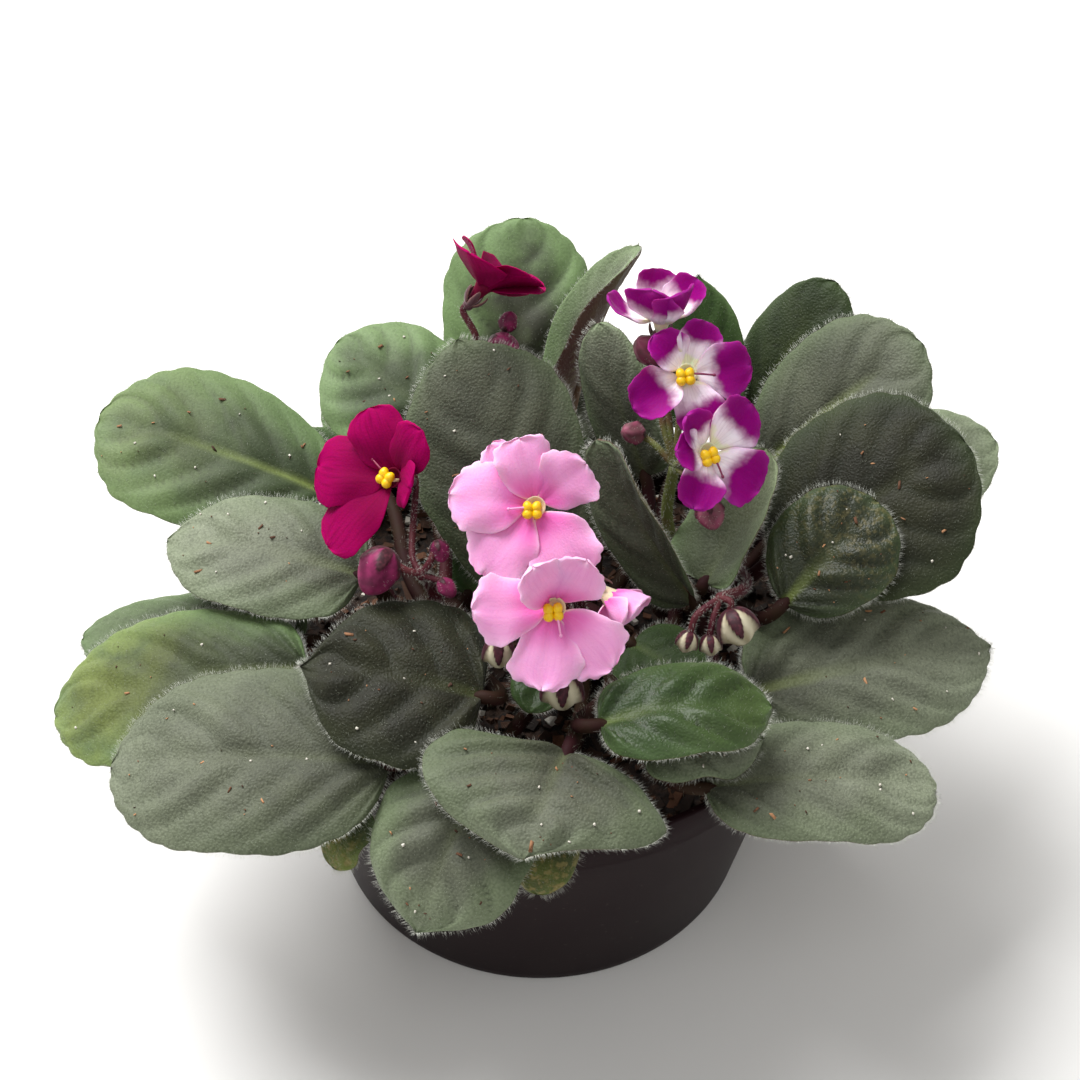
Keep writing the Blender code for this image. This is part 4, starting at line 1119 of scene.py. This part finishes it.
class MESH_OT_violet_soil(bpy.types.Operator):
    """Add the potting mix: a rough bed of fines with bark chips and perlite on it"""

    bl_idname = "mesh.violet_soil"
    bl_label = "Potting mix"

    def execute(self, context):
        settings = context.scene.violet_pot
        rng = np.random.default_rng(11)
        low = BASE_RADIUS - WALL - GAP
        high = RIM_RADIUS - RIM_STEP - 0.8 - WALL - GAP - 0.5
        outline = [(0.5, FLOOR + GAP), (low, FLOOR + GAP), (high, POT_HEIGHT - RIM_SKIRT - 3),
                   (high, SOIL_TOP - 2), *((r, SOIL_TOP - 1) for r in np.linspace(high - 0.7, 0.5, 60))]
        bed = lathe(outline, 150)
        # The top rises and falls in sine waves, with a random height at each point
        top = bed["points"][:, 2] > SOIL_TOP - 2.5
        x, y = bed["points"][:, 0], bed["points"][:, 1]
        rough = (np.sin(x * 0.41 + y * 0.23) + np.sin(x * 0.17 - y * 0.37 + 2)
                 + np.sin(x * 1.3) * np.sin(y * 1.1))
        bed["points"][:, 2] += top * (0.35 * rough + rng.uniform(-0.3, 0.3, len(x)))

        def scatter(count, sizes, z_low, z_high, **marks):
            r = high * np.sqrt(rng.uniform(0, 0.95, count))
            turn = rng.uniform(0, 2 * pi, count)
            centre = np.stack([r * np.cos(turn), r * np.sin(turn), rng.uniform(z_low, z_high, count)], -1)
            return crumbs(centre, rng.uniform(*sizes, (count, 3)), rng, **marks)
        chips = scatter(settings.chips, ((2, 1.2, 0.6), (6.5, 3, 1.6)), SOIL_TOP - 1.6, SOIL_TOP + 0.4,
                        tone=rng.uniform(size=settings.chips) ** 3)
        fines = scatter(FINES, ((0.8, 0.6, 0.4), (2.6, 1.6, 1.2)), SOIL_TOP - 1.2, SOIL_TOP,
                        tone=rng.uniform(size=FINES))
        perlite = scatter(PERLITE, ((0.9, 0.8, 0.8), (2.4, 2.2, 1.8)), SOIL_TOP - 1.2, SOIL_TOP + 0.2)
        mix = make_piece("potting_mix", [bed, slotted(chips, 1), slotted(fines, 1), slotted(perlite, 2)],
                         [material("composted_bark_fines", soil_material),
                          material("bark_chip", chip_material), material("perlite", perlite_material)],
                         ["soil"])
        mix.data.set_sharp_from_angle(angle=0.6)
        return {"FINISHED"}


class MESH_OT_violet_crowns(bpy.types.Operator):
    """Add the short thick stems that the leaf stalks grow from, ringed by old leaf scars"""

    bl_idname = "mesh.violet_crowns"
    bl_label = "Plant stems"

    def execute(self, context):
        z = np.linspace(CROWN_FOOT, CROWN_TOP - CROWN_DOME, 40)
        ring = CROWN_RADIUS - 0.1 + 0.1 * np.sin(z * 1.9)
        dome = [(CROWN_RADIUS * cos(a), CROWN_TOP + CROWN_DOME * (sin(a) - 1))
                for a in np.linspace(0.1, 1.45, 8)]
        for plant, spot in CROWNS.items():
            stem = lathe([(0.3, CROWN_FOOT), *zip(ring, z), *dome], 28, spot)
            make_piece(f"plant_stem_{plant}", [stem], [material("fleshy_leaf_stalk", leaf_stalk_material)],
                       [f"crown_{plant}"])
        return {"FINISHED"}


class MESH_OT_violet_leaves(bpy.types.Operator):
    """Add the leaves: quilted hairy blades with a pressed midrib, each on its fleshy stalk"""

    bl_idname = "mesh.violet_leaves"
    bl_label = "Leaves"

    def execute(self, context):
        settings = context.scene.violet_leaves
        felted = material("felted_leaf_blade", leaf_blade_material, 0.6, 0.2, settings)
        glossy = material("glossy_leaf_blade", leaf_blade_material, 0.46, 0.32, settings)
        others = [material("fleshy_leaf_stalk", leaf_stalk_material), material("plant_hair", hair_material)]
        length, width = settings.hair_length / MM, settings.hair_width / MM
        for order, name in enumerate(LEAVES):
            rng = np.random.default_rng(order)
            blade = dress_leaf(name, order, settings.rib_depth / MM)
            size = blade_length(blade)
            steps = (int(np.clip(size * 1.5, 36, 76)), int(np.clip(blade["width"], 23, 41)))
            tints = {key: blade[key] for key in ("pale", "fresh", "yellow", "speckle", "felt")}
            body = blade_body(blade, LEAF_THICK, steps, edge_tint=blade["edge"], rib_tint=blade["rib"],
                              **tints)
            route, radii = leaf_stalk(blade)
            under_rib = np.clip(np.arange(len(route)) - STALK_STEPS, 0, 1.0)[:, None]
            stalk = slotted(tube(route, radii, 12, rib=under_rib), 1)
            *strands, on_rim = leaf_hairs(blade, rng, settings.hair_density, length)
            fuzz = hairs(*strands, width, on_rim)
            down = stalk_hairs(route[:STALK_STEPS], radii[:STALK_STEPS], rng, LEAF_STALK_HAIRS,
                               0.8 * length)
            make_piece(f"{name}_finish",
                       [body, stalk, slotted(fuzz, 2), slotted(hairs(*down, width, 0.2), 2)],
                       [glossy if name in GLOSSY else felted, *others], [name])
        return {"FINISHED"}


class MESH_OT_violet_blooms(bpy.types.Operator):
    """Add the blooms: frilled velvety petals round a shallow throat"""

    bl_idname = "mesh.violet_blooms"
    bl_label = "Blooms"

    def execute(self, context):
        settings = context.scene.violet_blooms
        for name, bloom in BLOOMS.items():
            colour = name.split("_")[1]
            right, up, front = bloom_axes(bloom)
            parts = [blade_body(petal(bloom, index, settings.petal_frill / MM), PETAL_THICK, (30, 25))
                     for index in range(len(bloom["petals"]))]
            for index, part in enumerate(parts):
                # Each two-toned petal differs a little, and the first two keep more white
                shift = 0.07 * sin(2.1 * index + len(name)) - (0.1 if index < 2 else 0)
                shift = shift + bloom.get("shift", 0) if colour == "bicolour" else 0
                part["marks"]["place"] = part["marks"]["reach"] - 0.12 * part["marks"]["across"] ** 2 + shift
            rings = rings_round(bloom["mouth"], (front, right, up), THROAT_AHEAD[:, None],
                                THROAT_WIDE[:, None], full_turn(24))
            parts.append(loft(rings, place=-1.0))
            make_piece(f"{name}_finish", parts, [material(make=petal_material, **PETAL_FINISHES[colour])],
                       [name])
        return {"FINISHED"}


class MESH_OT_violet_anthers(bpy.types.Operator):
    """Add the pair of pollen sacs and the style that stand in the mouth of an open bloom"""

    bl_idname = "mesh.violet_anthers"
    bl_label = "Pollen sacs and styles"

    def execute(self, context):
        length = context.scene.violet_blooms.style_length / MM
        waxy = material("waxy_pollen_sac", pollen_material)
        cream = material("cream_filament", thread_material, "#efe4b8", "#ddc98c")
        for name, bloom in BLOOMS.items():
            if not bloom["anthers"]:
                continue
            colour = name.split("_")[1]
            right, up, front = bloom_axes(bloom)
            mouth = np.array(bloom["mouth"], float)
            middle = mouth + front * 1.7 - up * 0.7 - right * 0.6
            sacs, threads = [], []
            for way in (-1, 1):
                for level in (-1, 1):
                    spot = middle + right * 0.95 * way + up * 0.7 * level
                    sacs.append(egg(spot, up + right * 0.3 * way * level, SAC_LENGTH, SAC_RADIUS))
                path = pulled_curve(mouth - front * 0.8 + right * way,
                                    mouth + front * 0.6 + right * 1.1 * way,
                                    middle - front * 0.3 + right * 1.1 * way,
                                    middle + right * 0.5 * way, 8)
                threads.append(slotted(tube(path, 0.38, 8), 1))
            turn = radians(STYLES[name])
            out = right * cos(turn) + up * sin(turn)
            path = pulled_curve(mouth - front * 0.6, mouth + front * 2.2 + out * 0.6,
                                mouth + front * 2.6 + out * 2, mouth + front * 2.4 + out * length, 16)
            threads.append(slotted(tube(path, np.linspace(0.3, 0.2, 16), 8), 2))
            threads.append(slotted(egg(path[-1], out, 0.8, 0.34), 2))
            style = material(f"{colour}_style", thread_material, *STYLE_COLOURS[colour])
            node = name.replace("bloom", "anthers")
            make_piece(f"{node}_finish", [*sacs, *threads], [waxy, cream, style], [node])
        return {"FINISHED"}


class MESH_OT_violet_flower_stalks(bpy.types.Operator):
    """Add the flower stalks with their branches, sepals and buds"""

    bl_idname = "mesh.violet_flower_stalks"
    bl_label = "Flower stalks and buds"

    def execute(self, context):
        width = 1.5 * context.scene.violet_leaves.hair_width / MM
        materials = [material("hairy_flower_stalk", flower_stalk_material),
                     material("leafy_sepal", sepal_material), material("rolled_petal_bud", bud_material),
                     material("plant_hair", hair_material)]
        for order, (name, spray) in enumerate(SPRAYS.items()):
            rng = np.random.default_rng(100 + order)
            parts = []

            def stem(points, ends):
                route = smooth_route(points)
                radii = np.linspace(*ends, len(route))
                parts.append(tube(route, radii, 10, green=float(name == GREEN_SPRAY)))
                down = stalk_hairs(route, radii, rng, *FLOWER_STALK_HAIRS)
                parts.append(slotted(hairs(*down, width, 1.0), 3))

            stem(spray["stem"], STEM_RADII)
            end = spray["stem"][-1]
            for flower, way in spray["blooms"].items():
                bloom = BLOOMS[flower]
                front = bloom_axes(bloom)[2]
                seat = np.array(bloom["mouth"], float) - front * (THROAT_DEPTH + GAP)
                stem((end, *way, seat - front * 3, seat - front * 0.6), BRANCH_RADII)
                parts.append(slotted(egg(seat - front * 1.1, front, 2.6, 1.25), 1))
                parts += [slotted(part, 1) for part in sepals(seat - front * 1.4, front, **CALYX)]
            for centre, axis, length, radius, way in spray["buds"]:
                axis, centre = unit(axis), np.array(centre, float)
                stem((end, *way, centre - axis * length * 0.42), BRANCH_RADII)
                parts.append(slotted(bud(centre, axis, length, radius * 0.96, BUD_RIPENESS[name]), 2))
                out = unit(rng.normal(size=(BUD_HAIRS, 3)))
                tall = rng.uniform(0.4, 0.8, BUD_HAIRS) + 0.1 * radius
                parts.append(slotted(hairs(centre + out * radius * 0.85, out, tall, width, 1.0), 3))
            make_piece(f"{name}_finish", parts, materials, [name])
        return {"FINISHED"}


class MESH_OT_violet_litter(bpy.types.Operator):
    """Add crumbs of bark and perlite that lie on the upper leaves"""

    bl_idname = "mesh.violet_litter"
    bl_label = "Crumbs on the leaves"

    def execute(self, context):
        rng = np.random.default_rng(5)
        bark, white = [], []
        depth = context.scene.violet_leaves.rib_depth / MM
        count = LEAF_BARK + LEAF_PERLITE
        for name in LITTERED:
            blade = dress_leaf(name, list(LEAVES).index(name), depth)
            u, v = rng.uniform(0.15, 0.92, count), rng.uniform(-0.8, 0.8, count)
            spots = blade_point(blade, u, v, LEAF_THICK + 0.3, np.ones(count))
            bark.append(spots[:LEAF_BARK])
            white.append(spots[LEAF_BARK:])
        bark, white = np.concatenate(bark), np.concatenate(white)
        sizes = (0.3, 0.2, 0.12) + rng.uniform(0, 1, (len(bark), 1)) ** 3 * (2.0, 0.5, 0.2)
        brown = crumbs(bark, sizes, rng, tone=rng.uniform(0.3, 1.9, len(bark)))
        pale = crumbs(white, rng.uniform(0.2, 0.6, (len(white), 3)), rng)
        make_piece("crumbs_on_leaves", [brown, slotted(pale, 1)],
                   [material("bark_chip", chip_material), material("perlite", perlite_material)], [])
        return {"FINISHED"}


class MESH_OT_violet_stage(bpy.types.Operator):
    """Add the pale floor, the soft lights and the camera"""

    bl_idname = "mesh.violet_stage"
    bl_label = "Stage"

    def execute(self, context):
        mesh = bpy.data.meshes.new("floor")
        corners = [(x * FLOOR_HALF, y * FLOOR_HALF, 0) for x, y in ((-1, -1), (1, -1), (1, 1), (-1, 1))]
        mesh.from_pydata(corners, [], [(0, 1, 2, 3)])
        mesh.materials.append(material("matt_painted_board", floor_material))
        add_object("floor", mesh)
        for name, spot, size, power in LIGHTS:
            light = bpy.data.lights.new(name, "AREA")
            light.size, light.energy = size, power
            lamp = add_object(name, light)
            lamp.location = spot
            lamp.rotation_euler = (-lamp.location.normalized()).to_track_quat("-Z", "Y").to_euler()
        world = bpy.data.worlds.new("soft_room")
        world.use_nodes = True
        background = world.node_tree.nodes["Background"]
        background.inputs["Color"].default_value = linear("#f6f5f3")
        background.inputs["Strength"].default_value = ROOM_STRENGTH
        context.scene.world = world
        context.scene.view_settings.view_transform = "Standard"
        lens = bpy.data.cameras.new("camera")
        lens.lens, lens.sensor_width, lens.clip_start = CAMERA_LENS, 36, 0.01
        camera = add_object("camera", lens)
        camera.location, camera.rotation_euler = CAMERA_PLACE, (radians(CAMERA_TILT), 0, 0)
        context.scene.camera = camera
        return {"FINISHED"}


class VIEW3D_PT_violet(bpy.types.Panel):
    """Sidebar list of the plant's pieces"""

    bl_label = "African violet"
    bl_space_type = "VIEW_3D"
    bl_region_type = "UI"
    bl_category = "Violet"

    def draw(self, context):
        for group in ("violet_leaves", "violet_blooms", "violet_pot"):
            settings = getattr(context.scene, group)
            for name in settings.__annotations__:
                self.layout.prop(settings, name)
        for operator in PIECES:
            self.layout.operator(operator.bl_idname)


GROUPS = {"violet_leaves": VioletLeafSettings, "violet_blooms": VioletBloomSettings,
          "violet_pot": VioletPotSettings}
PIECES = (MESH_OT_violet_pot, MESH_OT_violet_soil, MESH_OT_violet_crowns, MESH_OT_violet_leaves,
          MESH_OT_violet_blooms, MESH_OT_violet_anthers, MESH_OT_violet_flower_stalks, MESH_OT_violet_litter,
          MESH_OT_violet_stage)


def register():
    """Register the classes and hang each group of settings on the scene."""
    for kind in (*GROUPS.values(), *PIECES, VIEW3D_PT_violet):
        bpy.utils.register_class(kind)
    for name, kind in GROUPS.items():
        setattr(bpy.types.Scene, name, bpy.props.PointerProperty(type=kind))


def unregister():
    """Take back what register did."""
    for name in GROUPS:
        delattr(bpy.types.Scene, name)
    for kind in (VIEW3D_PT_violet, *reversed(PIECES), *GROUPS.values()):
        bpy.utils.unregister_class(kind)


def main():
    register()
    for operator in PIECES:
        group, name = operator.bl_idname.split(".")
        getattr(getattr(bpy.ops, group), name)()


if __name__ == "__main__":
    main()
